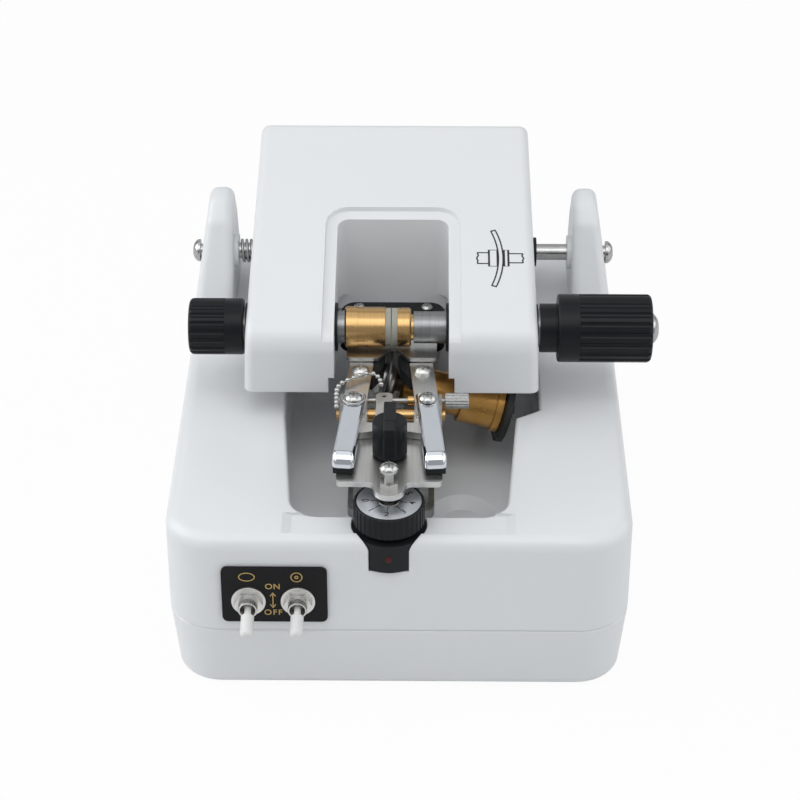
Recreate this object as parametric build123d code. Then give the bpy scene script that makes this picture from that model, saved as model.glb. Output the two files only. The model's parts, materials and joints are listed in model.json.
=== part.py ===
"""Lens groover: a bench machine that cuts a groove round the edge of a spectacle lens.

Sizes are in millimetres. The origin is under the middle of the base, on the table, with +Z up,
+X to the right of someone who faces the machine and +Y away from them. Inside the script y is
counted from the front wall, and x of the mechanism from the mechanism's own middle plane, which
lies a little left of the base's. The last lines move both into the part's frame.
"""

import os
from math import atan2, cos, degrees, pi, radians, sin, sqrt, tan

from build123d import *

# Fits and gaps that pieces share.
RUNNING_FIT = 0.05  # radial clearance of a shaft in its bore
FREE_GAP = 0.3  # between moving pieces that only pass each other
SEAT_GAP = 0.2  # under pieces that slide or turn on a face

# Base: lower tray, upper housing and what they stand on.
BASE_WIDTH = 150.0
BASE_DEPTH = 185.0
BASE_CORNER_RADIUS = 17.0
FOOT_HEIGHT = 0.9
FOOT_RADIUS = 8.0
FOOT_RECESS = 1.0
FOOT_INSET = 20.0
SEAM_HEIGHT = 25.0
SEAM_CHAMFER = 0.5
DECK_HEIGHT = 61.0
DECK_FILLET = 4.5
SHELL_WALL = 2.5
TRAY_TAPER = 6.0
TRAY_BOTTOM_FILLET = 3.0
TRAY_LIP_HEIGHT = 2.0
TRAY_LIP_WALL = 1.2
CASE_BOSS_RADIUS = 4.5
CASE_BOSS_INSET = 11.0
CASE_SCREW_RADIUS = 1.5
CASE_SCREW_HEAD_RADIUS = 3.0
CASE_SCREW_HEAD_HEIGHT = 2.0
CASE_SCREW_BITE = 10.0
MID_X = -3.1  # the mechanism's middle plane

# Basin sunk into the deck, wide enough behind for the wheel's pulley.
BASIN_FLOOR = DECK_HEIGHT - 25.0
BASIN_FRONT_Y = 14.0
BASIN_FRONT_HALF_WIDTH = BASE_WIDTH / 2 - 40.6
BASIN_STEP_Y = 71.0
BASIN_STEP_HALF_WIDTH = BASE_WIDTH / 2 - 36.0
BASIN_BACK_Y = 122.0
BASIN_BACK_RIGHT_X = BASE_WIDTH / 2 - 28.0
BASIN_CORNER_RADIUS = 9.0
BASIN_FLOOR_FILLET = 4.0
BASIN_RIM_FILLET = 1.2
LIP_DROP = 1.0
LIP_HALF_WIDTH = BASE_WIDTH / 2 - 40.7
LIP_SLOPE = 6.0  # run of the lip's sloped ends
DRAIN_X = 20.9
DRAIN_Y = 49.8
DRAIN_TOP_RADIUS = 11.3
DRAIN_BOTTOM_RADIUS = 6.2
DRAIN_DEPTH = 2.8

# Rear ears and the pivot rod that the head turns on.
PIVOT_Y = BASE_DEPTH - 35.0
PIVOT_Z = DECK_HEIGHT + 19.5
PIVOT_ROD_RADIUS = 2.9
EAR_INNER_X = BASE_WIDTH / 2 - 14.5
EAR_TOP_Z = DECK_HEIGHT + 42.0
EAR_TOP_OUTER_X = BASE_WIDTH / 2 - 6.6
EAR_EDGE_FILLET = 3.2
EAR_CORNER_RADIUS = 7.0
# Side view of an ear: y from the pivot, z from the deck.
EAR_OUTLINE = [(-24, -4), (-19, 6), (-8, 35), (-2, 42), (8, 42), (18, 29), (28, 4), (30, -4)]
EAR_BOSS_RADIUS = 6.0
EAR_BOSS_HEIGHT = 1.5
PIVOT_CAP_RADIUS = 4.0
PIVOT_CAP_HEIGHT = 2.6
PIVOT_SPRING_WIRE = 1.1
PIVOT_SPRING_TURNS = 3
PIVOT_SPRING_PITCH = 1.6
PIVOT_WASHER_RADIUS = 5.2
PIVOT_WASHER_HEIGHT = 1.6

# Head: a wedge-shaped cover over a base plate, with a slot that the lens hangs in.
HEAD_HALF_WIDTH = BASE_WIDTH / 2 - 25.5
HEAD_SIDE_DRAFT = 2.2
HEAD_FRONT_Y = 69.0
HEAD_BACK_Y = BASE_DEPTH - 11.0
HEAD_RIM_Z = DECK_HEIGHT + 11.0
HEAD_FRONT_TOP_Z = DECK_HEIGHT + 33.7
HEAD_TOP_SLOPE = 15.0
HEAD_FRONT_FILLET = 10.0
HEAD_BACK_FILLET = 6.0
HEAD_EDGE_FILLET = 3.0
HEAD_WALL = 2.5
SLOT_HALF_WIDTH = 19.15
SLOT_BACK_Y = 124.0
SLOT_CORNER_RADIUS = 4.0
SLOT_RELIEF = 2.0
SLOT_RELIEF_TOP_Z = DECK_HEIGHT + 16.7
LEDGE_WIDTH = 4.0
LEDGE_DEPTH = 2.2
LEDGE_BOTTOM_Z = DECK_HEIGHT + 19.5
HEAD_BASE_THICK = 2.5

# Lens axis with its shafts, chucks, pads and knobs, left to right.
LENS_AXIS_Y = 85.0
LENS_AXIS_Z = DECK_HEIGHT + 27.0
LEFT_SHAFT_RADIUS = 5.5
RIGHT_SHAFT_RADIUS = 5.4
SLEEVE_RADIUS = 6.4
BUSH_RADIUS = 8.0
BUSH_FLANGE_RADIUS = 8.2
BUSH_FLANGE_THICK = 0.9
OUTER_BUSH_INSET = 7.5
INNER_WALL_THICK = 3.5
LEFT_CHUCK_START = -15.8
LEFT_CHUCK_STEP = -11.4
LEFT_CHUCK_FLANGE_RADIUS = 7.0
LEFT_CHUCK_RADIUS = 6.8
PAD_RADIUS = 6.5
PAD_THICK = 2.0
PAD_GAP = 0.2
LENS_PLANE_X = -0.15
RIGHT_CHUCK_RADIUS = 6.6
RIGHT_CHUCK_LENGTH = 4.5
RIGHT_NECK_RADIUS = 4.4
RIGHT_NECK_LENGTH = 0.9
CLAMP_TRAVEL = 10.0
CLAMP_TAIL_RADIUS = 4.0
LEFT_KNOB_RADIUS = 9.5
LEFT_KNOB_LENGTH = 18.4
RIGHT_KNOB_RADIUS = 11.5
RIGHT_KNOB_NECK_RADIUS = 8.25
RIGHT_KNOB_NECK_LENGTH = 5.9
RIGHT_KNOB_LENGTH = 31.6
KNOB_FLUTES = 20
KNOB_COLLAR = 6.2
END_SCREW_RADIUS = 5.0
END_SCREW_HEIGHT = 2.4

# Lens drive inside the head: one motor, two belts.
LENS_MOTOR_Y = 140.0
LENS_MOTOR_Z = DECK_HEIGHT + 37.0
LENS_MOTOR_RADIUS = 11.5
LENS_MOTOR_HALF_LENGTH = 20.0
LENS_MOTOR_SHAFT_RADIUS = 3.0
LENS_PULLEY_RADIUS = 7.0
LENS_PULLEY_HALF_WIDTH = 3.0
BELT_THICK = 0.8
BELT_GAP = 0.05

# Grooving wheel on its tilted spindle. s is the distance along the spindle from the wheel.
WHEEL_X = -2.6
WHEEL_Y = 85.0
WHEEL_Z = DECK_HEIGHT + 6.0
WHEEL_RADIUS = 12.0
WHEEL_THICK = 0.7
SPINDLE_TILT = 14.0
SPINDLE_RADIUS = 3.0
HUB_RADIUS = 5.6
HUB_LENGTH = 4.2
HOUSING_START_S = 5.6
HOUSING_NECK_RADIUS = 7.0
HOUSING_STEP_S = 26.8
HOUSING_RADIUS = 8.8
HOUSING_END_S = 38.6
HOUSING_FLANGE_RADIUS = 9.7
HOUSING_FLANGE_THICK = 2.4
SPINDLE_PULLEY_RADIUS = 11.8
SPINDLE_PULLEY_THICK = 2.6
WHEEL_MOTOR_RADIUS = 11.5
WHEEL_MOTOR_LENGTH = 28.0
WHEEL_MOTOR_BACK = 61.0  # motor shaft behind the spindle
WHEEL_MOTOR_DROP = 20.0  # motor shaft below the spindle, square to it
MOTOR_PULLEY_RADIUS = 6.2

# Depth dial in the front lip.
DIAL_Y = 10.4
DIAL_RADIUS = 11.4
DIAL_BOTTOM_Z = DECK_HEIGHT + 0.4
DIAL_TOP_Z = DECK_HEIGHT + 8.2
DIAL_FLUTES = 36
DIAL_FACE_RADIUS = 10.3
DIAL_FACE_THICK = 0.8
DIAL_STEM_RADIUS = 6.0
HOLDER_RADIUS = 12.0
HOLDER_BOTTOM_Z = DECK_HEIGHT - 12.0
HOLDER_TOP_Z = DECK_HEIGHT - 1.4
PLUNGER_RADIUS = 3.65
PLUNGER_RISE = 0.3  # plunger above the dial's face at rest

# Guide unit: a plate that tips on a pin, with a carriage and two arms on it.
GUIDE_PIN_Y = 56.0
GUIDE_PIN_Z = DECK_HEIGHT + 10.5
GUIDE_PIN_RADIUS = 1.5
GUIDE_PIN_HEAD_RADIUS = 1.9
GUIDE_BUSH_RADIUS = 2.2
PLATE_BOTTOM_Z = DECK_HEIGHT + 11.4
PLATE_THICK = 2.0
PLATE_HALF_WIDTH = 16.9
PLATE_FRONT_Y = 13.1
PLATE_BACK_Y = 64.0
PLATE_TAB_RADIUS = 5.0
PLATE_TAB_FILLET = 2.4
PLATE_WINDOW_HALF_WIDTH = 13.2
PLATE_WINDOW_Y = 51.0
PLATE_FLANGE_THICK = 2.3
PLATE_FLANGE_BOTTOM_Z = DECK_HEIGHT + 7.0
CHEEK_OUTER_X = 12.6
CHEEK_THICK = 3.0
CHEEK_TOP_RADIUS = 2.6
CARRIAGE_THICK = 2.6
CARRIAGE_HALF_WIDTH = 14.8
CARRIAGE_FRONT_Y = 36.5
CARRIAGE_BACK_Y = 66.0
CARRIAGE_WINDOW_HALF_WIDTH = 7.8
CARRIAGE_WINDOW_Y = 43.0
ADJUSTER_Y = 59.3
ADJUSTER_Z = DECK_HEIGHT + 14.1
ADJUSTER_ROD_RADIUS = 0.9
ADJUSTER_ROD_HALF_LENGTH = 17.8
ADJUSTER_KNOB_RADIUS = 2.6
ADJUSTER_KNOB_LENGTH = 8.0
ADJUSTER_KNOB_FLUTES = 16
ADJUSTER_EAR_THICK = 1.0
CARRIAGE_NUT_LENGTH = 2.2
CARRIAGE_NUT_RADIUS = 1.8
ARM_PIVOT_X = 12.1
ARM_PIVOT_Y = 50.3
ARM_ANGLE = 4.6
ARM_WIDTH = 7.2
ARM_TOP_Z = DECK_HEIGHT + 20.4
ARM_BAR_FRONT = 29.4  # from the pivot to where the nose starts to round
ARM_BAR_BACK = 4.4
ARM_NOSE_RADIUS = 4.2
ARM_NOSE_BOTTOM_Z = DECK_HEIGHT + 16.0
LEVER_THICK = 1.3
LEVER_WIDTH = 7.8
LEVER_BACK = 27.6
BLOCK_SCREW_BACK = 21.4
BLOCK_BOTTOM_Z = DECK_HEIGHT + 13.2
BLOCK_TOP_Z = DECK_HEIGHT + 17.6
BLOCK_INNER_X = 2.6
BLOCK_FRONT = 17.4
BLOCK_BACK = 32.5
ARM_SCREW_RADIUS = 1.5
ARM_SCREW_HEAD_RADIUS = 2.9
ARM_SCREW_HEAD_HEIGHT = 1.9
LIMIT_SCREW_RADIUS = 1.5
LIMIT_SCREW_HEAD_Z = DECK_HEIGHT + 19.9
LIMIT_NUT_ACROSS_FLATS = 5.5
LIMIT_NUT_HEIGHT = 2.4
MODE_KNOB_Y = 29.0
MODE_KNOB_RADIUS = 5.6
MODE_KNOB_BOTTOM_Z = DECK_HEIGHT + 14.3
MODE_KNOB_TOP_Z = DECK_HEIGHT + 26.3
MODE_WING_WIDTH = 4.0
MODE_WING_TOP_Z = DECK_HEIGHT + 28.4
MODE_WING_BACK = 8.4
MODE_SHAFT_RADIUS = 2.0

# Bead chain and its tag, lying on the left arm.
BEAD_RADIUS = 0.85
BEAD_SPACING = 2.35
CHAIN_LINK_RADIUS = 0.25
CHAIN_Z = DECK_HEIGHT + 19.6
CHAIN_ROUTE = [(-17.6, 47.3), (-17.8, 53.6), (-16.6, 61.0), (-12.0, 65.0), (-8.2, 67.4), (-3.2, 60.8)]
TAG_WIDTH = 5.4
TAG_LENGTH = 20.0
TAG_THICK = 0.5

# Well cover and fork plate behind the wheel.
COVER_HALF_WIDTH = 17.8
COVER_FRONT_Y = 88.0
COVER_BACK_Y = 117.0
COVER_BOTTOM_Z = DECK_HEIGHT + 15.0
COVER_TOP_Z = DECK_HEIGHT + 18.0
COVER_CORNER_RADIUS = 5.0
COVER_SCREW_X = 11.8
COVER_SCREW_Y = 112.5
FORK_FRONT_Y = 77.5
FORK_BACK_Y = 96.0
FORK_HALF_WIDTH = 15.2
FORK_THICK = 1.4
FORK_NOTCH_HALF_WIDTH = 5.0
FORK_NOTCH_DEPTH = 6.6
FORK_NOTCH_X = 0.6
TOWER_HALF_WIDTH = 16.0
TOWER_FRONT_Y = 100.0
TOWER_BACK_Y = 119.0

# Switch panel on the front wall.
PANEL_X = 35.4 - BASE_WIDTH / 2
PANEL_Z = DECK_HEIGHT - 20.9
PANEL_WIDTH = 33.8
PANEL_HEIGHT = 21.2
PANEL_THICK = 1.2
PANEL_CORNER_RADIUS = 2.0
SWITCH_PITCH = 15.8
SWITCH_Z = DECK_HEIGHT - 23.0
SWITCH_BUSH_RADIUS = 3.0
SWITCH_BUSH_REACH = 5.4
SWITCH_MOUTH_RADIUS = 2.5
SWITCH_NUT_ACROSS_FLATS = 8.0
SWITCH_NUT_THICK = 1.9
SWITCH_WASHER_RADIUS = 5.5
SWITCH_WASHER_THICK = 0.7
SWITCH_BODY_DEPTH = 8.0
SWITCH_PIVOT_DEPTH = 3.2  # lever pivot behind the bush's mouth
SWITCH_LEVER_RADIUS = 1.1
SWITCH_PIN_RADIUS = 0.5
SWITCH_PIN_HALF_LENGTH = 1.25
SWITCH_MOUTH_DEPTH = 4.4
SWITCH_OFF_ANGLE = 17.0
SLEEVE_START = 4.9
SLEEVE_END = 12.6
SLEEVE_TIP_RADIUS = 2.1

# Power inlet in the back wall and the transformer behind it.
INLET_X = 37.0 - BASE_WIDTH / 2
INLET_Z = (SEAM_HEIGHT + DECK_HEIGHT) / 2
INLET_WIDTH = 27.0
INLET_HEIGHT = 20.0
INLET_FLANGE_WIDTH = 49.0
INLET_FLANGE_HEIGHT = 23.0
INLET_FLANGE_THICK = 2.4
INLET_BODY_DEPTH = 18.0
SOCKET_WIDTH = 24.6
SOCKET_HEIGHT = 16.8
SOCKET_DEPTH = 14.5
TRANSFORMER_X = 23.0 - BASE_WIDTH / 2
TRANSFORMER_Y = 95.0
TRANSFORMER_WIDTH = 30.0
TRANSFORMER_LENGTH = 42.0
TRANSFORMER_HEIGHT = 34.0
TRANSFORMER_STACK = 17.0

# Heights and places worked out from the sizes above.
PLATE_TOP_Z = PLATE_BOTTOM_Z + PLATE_THICK
CARRIAGE_BOTTOM_Z = PLATE_TOP_Z + SEAT_GAP
CARRIAGE_TOP_Z = CARRIAGE_BOTTOM_Z + CARRIAGE_THICK
LEVER_BOTTOM_Z = CARRIAGE_TOP_Z + SEAT_GAP
LEVER_TOP_Z = LEVER_BOTTOM_Z + LEVER_THICK
PLUNGER_TOP_Z = DIAL_TOP_Z + PLUNGER_RISE
PULLEY_S = HOUSING_END_S + HOUSING_FLANGE_THICK + FREE_GAP
RIGHT_SHAFT_START = LENS_PLANE_X + PAD_GAP / 2 + PAD_THICK + RIGHT_CHUCK_LENGTH + RIGHT_NECK_LENGTH
KNOB_GAP = 0.3
INNER_BUSH_END = SLOT_HALF_WIDTH + SLOT_RELIEF + HEAD_WALL + FREE_GAP + INNER_WALL_THICK + 0.2
LENS_PULLEY_X = (INNER_BUSH_END + HEAD_HALF_WIDTH - OUTER_BUSH_INSET) / 2
SPINDLE = Pos(WHEEL_X, WHEEL_Y, WHEEL_Z) * Rot(0, 90 + SPINDLE_TILT, 0)


def block(x0, x1, y0, y1, z0, z1):
    """Box between two corners."""
    return Pos((x0 + x1) / 2, (y0 + y1) / 2, (z0 + z1) / 2) * Box(x1 - x0, y1 - y0, z1 - z0)


def post(x, y, z0, z1, radius):
    """Upright cylinder."""
    return Pos(x, y, (z0 + z1) / 2) * Cylinder(radius, z1 - z0)


def axle(x0, x1, y, z, radius):
    """Cylinder along X."""
    return Pos((x0 + x1) / 2, y, z) * Rot(0, 90, 0) * Cylinder(radius, x1 - x0)


def lens_axle(x0, x1, radius):
    """Cylinder on the lens axis."""
    return axle(x0, x1, LENS_AXIS_Y, LENS_AXIS_Z, radius)


def spindle_piece(s0, s1, radius):
    """Cylinder on the tilted wheel spindle, from s0 to s1 along it."""
    return SPINDLE * Pos(0, 0, (s0 + s1) / 2) * Cylinder(radius, s1 - s0)


def both_sides(piece):
    """A piece and its mirror image across the middle plane."""
    return [piece, mirror(piece, Plane.YZ)]


def fluted(solid, axis_place, radius, length, count, cutter_radius, bite):
    """Cuts round flutes along a knob whose axis is the local Z of axis_place."""
    cutter = Pos(radius + cutter_radius - bite, 0, length / 2) * Cylinder(cutter_radius, length)
    return solid - [axis_place * Rot(0, 0, 360 / count * i) * cutter for i in range(count)]


def screw(radius, height, shank_radius, shank_length):
    """Screw with a domed head standing on z = 0, its shank below, and a cross recess."""
    profile = make_face(
        Curve()
        + [
            Line((0, -shank_length), (shank_radius, -shank_length)),
            Line((shank_radius, -shank_length), (shank_radius, 0)),
            Line((shank_radius, 0), (radius, 0)),
            Line((radius, 0), (radius, height * 0.35)),
            ThreePointArc((radius, height * 0.35), (radius * 0.72, height * 0.83), (0, height)),
            Line((0, height), (0, -shank_length)),
        ]
    )
    body = revolve(Plane.XZ * profile, Axis.Z)
    slot = Pos(0, 0, height) * Box(radius * 1.1, radius * 0.22, height)
    return body - [slot, Rot(0, 0, 90) * slot]


def hexagon_nut(across_flats, height, bore):
    """Hexagon nut standing on z = 0."""
    nut = extrude(RegularPolygon(across_flats / 2, 6, major_radius=False), height)
    return nut - Pos(0, 0, height / 2) * Cylinder(bore, height)


# Base.


def base_plan(inset):
    """Plan of the base, drawn in by inset."""
    return Pos(0, BASE_DEPTH / 2) * RectangleRounded(
        BASE_WIDTH - 2 * inset, BASE_DEPTH - 2 * inset, BASE_CORNER_RADIUS - inset
    )


def case_boss_places():
    """Centres of the four bosses that hold the tray to the housing."""
    x = BASE_WIDTH / 2 - CASE_BOSS_INSET
    near, far = CASE_BOSS_INSET, BASE_DEPTH - CASE_BOSS_INSET
    return [(-x, near), (x, near), (-x, far), (x, far)]


def foot_places():
    """Centres of the four rubber feet."""
    x = BASE_WIDTH / 2 - FOOT_INSET
    near, far = 1.4 * FOOT_INSET, BASE_DEPTH - 1.4 * FOOT_INSET
    return [(-x, near), (x, near), (-x, far), (x, far)]


def base_tray():
    height = SEAM_HEIGHT - FOOT_HEIGHT
    tray = Pos(0, 0, SEAM_HEIGHT) * extrude(base_plan(0), -height, taper=TRAY_TAPER)
    tray = fillet(tray.edges().group_by(Axis.Z)[0], TRAY_BOTTOM_FILLET)
    tray = chamfer(tray.edges().group_by(Axis.Z)[-1], SEAM_CHAMFER)
    hollow = extrude(base_plan(SHELL_WALL), SHELL_WALL - height, taper=TRAY_TAPER)
    tray -= Pos(0, 0, SEAM_HEIGHT) * hollow
    lip_outside = base_plan(SHELL_WALL + FREE_GAP)
    lip_inside = base_plan(SHELL_WALL + FREE_GAP + TRAY_LIP_WALL)
    lip = extrude(lip_outside - lip_inside, TRAY_LIP_HEIGHT + 1.0)
    root = extrude(base_plan(SHELL_WALL - 0.5) - lip_inside, 1.0)
    tray += Pos(0, 0, SEAM_HEIGHT - 1.0) * lip + Pos(0, 0, SEAM_HEIGHT - 1.0) * (root - Pos(0, 0, 0.5) * root)
    floor = FOOT_HEIGHT + SHELL_WALL
    for x, y in case_boss_places():
        tray += post(x, y, floor - 1.0, SEAM_HEIGHT, CASE_BOSS_RADIUS)
    for x, y in case_boss_places():
        head_seat = FOOT_HEIGHT + CASE_SCREW_HEAD_HEIGHT + 1.0
        tray -= post(x, y, FOOT_HEIGHT - 1.0, head_seat, CASE_SCREW_HEAD_RADIUS + FREE_GAP)
        tray -= post(x, y, head_seat - 1.0, SEAM_HEIGHT + 1.0, CASE_SCREW_RADIUS + RUNNING_FIT)
    for x, y in foot_places():
        tray -= post(x, y, FOOT_HEIGHT - 1.0, FOOT_HEIGHT + FOOT_RECESS, FOOT_RADIUS)
    tray += motor_cradle(floor)
    return tray


def motor_cradle(floor):
    """Two ribs of the tray that carry the wheel motor."""
    ribs = []
    for share in (0.25, 0.75):
        place = motor_place(-WHEEL_MOTOR_LENGTH * share)
        centre = Vector(MID_X, 0, 0) + place.position
        ribs.append(block(centre.X - 2, centre.X + 2, centre.Y - 9, centre.Y + 9, floor - 1.0, centre.Z))
    motor = Pos(MID_X, 0, 0) * motor_place(-WHEEL_MOTOR_LENGTH / 2) * Cylinder(
        WHEEL_MOTOR_RADIUS, WHEEL_MOTOR_LENGTH + 8
    )
    return ribs[0] + ribs[1] - motor


def basin_plan(grow):
    """Plan of the basin, grown outwards by grow."""
    step = BASIN_STEP_HALF_WIDTH + grow
    front = BASIN_FRONT_HALF_WIDTH + grow
    corners = [
        (-front, BASIN_FRONT_Y - grow),
        (front, BASIN_FRONT_Y - grow),
        (step, BASIN_STEP_Y),
        (BASIN_BACK_RIGHT_X + grow, BASIN_STEP_Y + 5),
        (BASIN_BACK_RIGHT_X + grow, BASIN_BACK_Y + grow),
        (-step, BASIN_BACK_Y + grow),
        (-step, BASIN_STEP_Y),
    ]
    outline = make_face(Polyline(*corners, close=True))
    rounded = outline.vertices().group_by(Axis.Y)[0] + outline.vertices().group_by(Axis.Y)[-1]
    return fillet(rounded, BASIN_CORNER_RADIUS + grow)


def ear():
    """Right ear: a fin that grows out of the side wall, leaning inwards, with the pivot's bore."""
    outline = make_face(Polyline(*[(PIVOT_Y + y, DECK_HEIGHT + z) for y, z in EAR_OUTLINE], close=True))
    tops = outline.vertices().filter_by(lambda v: v.Y > DECK_HEIGHT + 1)
    outline = fillet(tops, EAR_CORNER_RADIUS)
    lean = degrees(atan2(BASE_WIDTH / 2 - EAR_TOP_OUTER_X, EAR_TOP_Z - DECK_HEIGHT))
    keep = Rot(0, -lean, 0) * Pos(-BASE_WIDTH / 4, 0, 0) * Box(BASE_WIDTH / 2, BASE_DEPTH, 2 * EAR_TOP_Z)
    fin = extrude(Plane.YZ * outline, BASE_WIDTH / 2 + 5)
    fin = fin & Pos(BASE_WIDTH / 2, PIVOT_Y, DECK_HEIGHT + 2) * keep
    fin -= block(0, EAR_INNER_X, 0, BASE_DEPTH, 0, 2 * EAR_TOP_Z)
    flanks = fin.faces().filter_by(lambda f: abs(f.normal_at().X) > 0.9)
    rims = ShapeList([e for f in flanks for e in f.edges() if e.center().Z > DECK_HEIGHT - 3])
    return fillet(rims, EAR_EDGE_FILLET) & extrude(base_plan(0), 2 * EAR_TOP_Z)


def upper_housing():
    height = DECK_HEIGHT - SEAM_HEIGHT
    body = extrude(base_plan(0), height)
    body = fillet(body.edges().group_by(Axis.Z)[-1], DECK_FILLET)
    body = Pos(0, 0, SEAM_HEIGHT) * chamfer(body.edges().group_by(Axis.Z)[0], SEAM_CHAMFER)
    outside = body
    hollow = extrude(base_plan(SHELL_WALL), height - SHELL_WALL)
    hollow = Pos(0, 0, SEAM_HEIGHT) * fillet(hollow.edges().group_by(Axis.Z)[-1], DECK_FILLET - 2.0)
    body -= hollow
    tub_bottom = BASIN_FLOOR - SHELL_WALL
    tub = Pos(0, 0, tub_bottom) * extrude(basin_plan(SHELL_WALL), DECK_HEIGHT - 1 - tub_bottom)
    drain_boss = post(DRAIN_X, DRAIN_Y, tub_bottom - DRAIN_DEPTH, BASIN_FLOOR, DRAIN_TOP_RADIUS + SHELL_WALL)
    holder_boss = post(MID_X, DIAL_Y, tub_bottom, DECK_HEIGHT - 1, HOLDER_RADIUS + SHELL_WALL)
    body += tub + drain_boss + (holder_boss & outside)
    for x, y in case_boss_places():
        body += post(x, y, SEAM_HEIGHT, DECK_HEIGHT - 1, CASE_BOSS_RADIUS)
        body -= post(x, y, SEAM_HEIGHT, SEAM_HEIGHT + CASE_SCREW_BITE + 2, CASE_SCREW_RADIUS)
    pocket = Pos(0, 0, BASIN_FLOOR) * extrude(basin_plan(0), DECK_HEIGHT - BASIN_FLOOR + 5)
    pocket = fillet(pocket.edges().group_by(Axis.Z)[0], BASIN_FLOOR_FILLET)
    body -= pocket
    rim = body.edges().filter_by_position(Axis.Z, DECK_HEIGHT - 0.01, DECK_HEIGHT + 0.01)
    rim = rim.filter_by_position(Axis.Y, BASIN_FRONT_Y - 1, BASIN_BACK_Y + 1)
    rim = rim.filter_by(lambda e: abs(e.center().X) < BASIN_BACK_RIGHT_X + 1)
    body = fillet(rim, BASIN_RIM_FILLET)
    body -= lip_cut()
    drain = Cone(DRAIN_BOTTOM_RADIUS, DRAIN_TOP_RADIUS, DRAIN_DEPTH)
    body -= Pos(DRAIN_X, DRAIN_Y, BASIN_FLOOR - DRAIN_DEPTH / 2) * drain
    body -= post(MID_X, DIAL_Y, HOLDER_BOTTOM_Z, DECK_HEIGHT + 5, HOLDER_RADIUS + SEAT_GAP)
    for fin in both_sides(ear()):
        body += fin
    body += cover_tower()
    bore_end = BASE_WIDTH / 2 + 5
    for side in (-1, 1):
        inner = sorted((side * (EAR_INNER_X - EAR_BOSS_HEIGHT), side * (EAR_INNER_X + 1)))
        body += axle(*inner, PIVOT_Y, PIVOT_Z, EAR_BOSS_RADIUS)
    body -= axle(-bore_end, bore_end, PIVOT_Y, PIVOT_Z, PIVOT_ROD_RADIUS)
    body -= belt_slot()
    body -= panel_cuts()
    body -= inlet_cut()
    return body


def lip_cut():
    """Shallow dip in the front lip, with sides that rise gently to the deck."""
    low, high = DECK_HEIGHT - LIP_DROP, DECK_HEIGHT + LIP_DROP
    wide = LIP_HALF_WIDTH + LIP_SLOPE
    outline = make_face(
        Polyline((-LIP_HALF_WIDTH, low), (LIP_HALF_WIDTH, low), (wide, high), (-wide, high), close=True)
    )
    return Pos(0, BASIN_FRONT_Y + 1, 0) * extrude(Plane.XZ * outline, BASIN_FRONT_Y - 3)


def cover_tower():
    """Hollow tower moulded on the basin's floor, which carries the well cover."""
    x0, x1 = MID_X - TOWER_HALF_WIDTH, MID_X + TOWER_HALF_WIDTH
    tower = block(x0, x1, TOWER_FRONT_Y, TOWER_BACK_Y, BASIN_FLOOR - 1, COVER_BOTTOM_Z)
    wall = SHELL_WALL
    top = COVER_BOTTOM_Z - 8
    tower -= block(x0 + wall, x1 - wall, TOWER_FRONT_Y + wall, TOWER_BACK_Y - wall, BASIN_FLOOR - 2, top)
    for x in (-COVER_SCREW_X, COVER_SCREW_X):
        tower -= post(MID_X + x, COVER_SCREW_Y, COVER_BOTTOM_Z - 7, COVER_BOTTOM_Z + 1, 1.0)
    return tower


def belt_slot():
    """Slot through the basin's back wall for the wheel's belt."""
    low = motor_place(0).position.Z - MOTOR_PULLEY_RADIUS
    centre = MID_X + (SPINDLE * Pos(0, 0, PULLEY_S)).position.X
    return block(centre - 8, centre + 6, BASIN_BACK_Y - 10, BASIN_BACK_Y + 6, low, DECK_HEIGHT - 6)


def rubber_feet():
    return [post(x, y, 0, FOOT_HEIGHT + FOOT_RECESS, FOOT_RADIUS) for x, y in foot_places()]


def base_screws():
    seat = FOOT_HEIGHT + CASE_SCREW_HEAD_HEIGHT + 1.0
    tip = SEAM_HEIGHT + CASE_SCREW_BITE
    screws = []
    for x, y in case_boss_places():
        head = post(x, y, seat - CASE_SCREW_HEAD_HEIGHT, seat, CASE_SCREW_HEAD_RADIUS)
        screws.append(head + post(x, y, seat, tip, CASE_SCREW_RADIUS))
    return screws


# Power side.


def switch_places():
    """x of the lens switch and of the wheel switch."""
    return (PANEL_X - SWITCH_PITCH / 2 - 0.4, PANEL_X + SWITCH_PITCH / 2 - 0.4)


def forward(x, y, z):
    """Place whose local Z points out of the front wall."""
    return Pos(x, y, z) * Rot(90, 0, 0)


def panel_cuts():
    """Holes in the front wall for the two switches."""
    return [
        forward(x, SHELL_WALL, SWITCH_Z) * Cylinder(SWITCH_BUSH_RADIUS + FREE_GAP, 3 * SHELL_WALL)
        for x in switch_places()
    ]


def switch_panel():
    face = RectangleRounded(PANEL_WIDTH, PANEL_HEIGHT, PANEL_CORNER_RADIUS)
    plate = forward(PANEL_X, 0, PANEL_Z) * extrude(face, PANEL_THICK)
    for x in switch_places():
        plate -= forward(x, 0, SWITCH_Z) * Cylinder(SWITCH_BUSH_RADIUS + SEAT_GAP, 4 * PANEL_THICK)
    return plate


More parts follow.
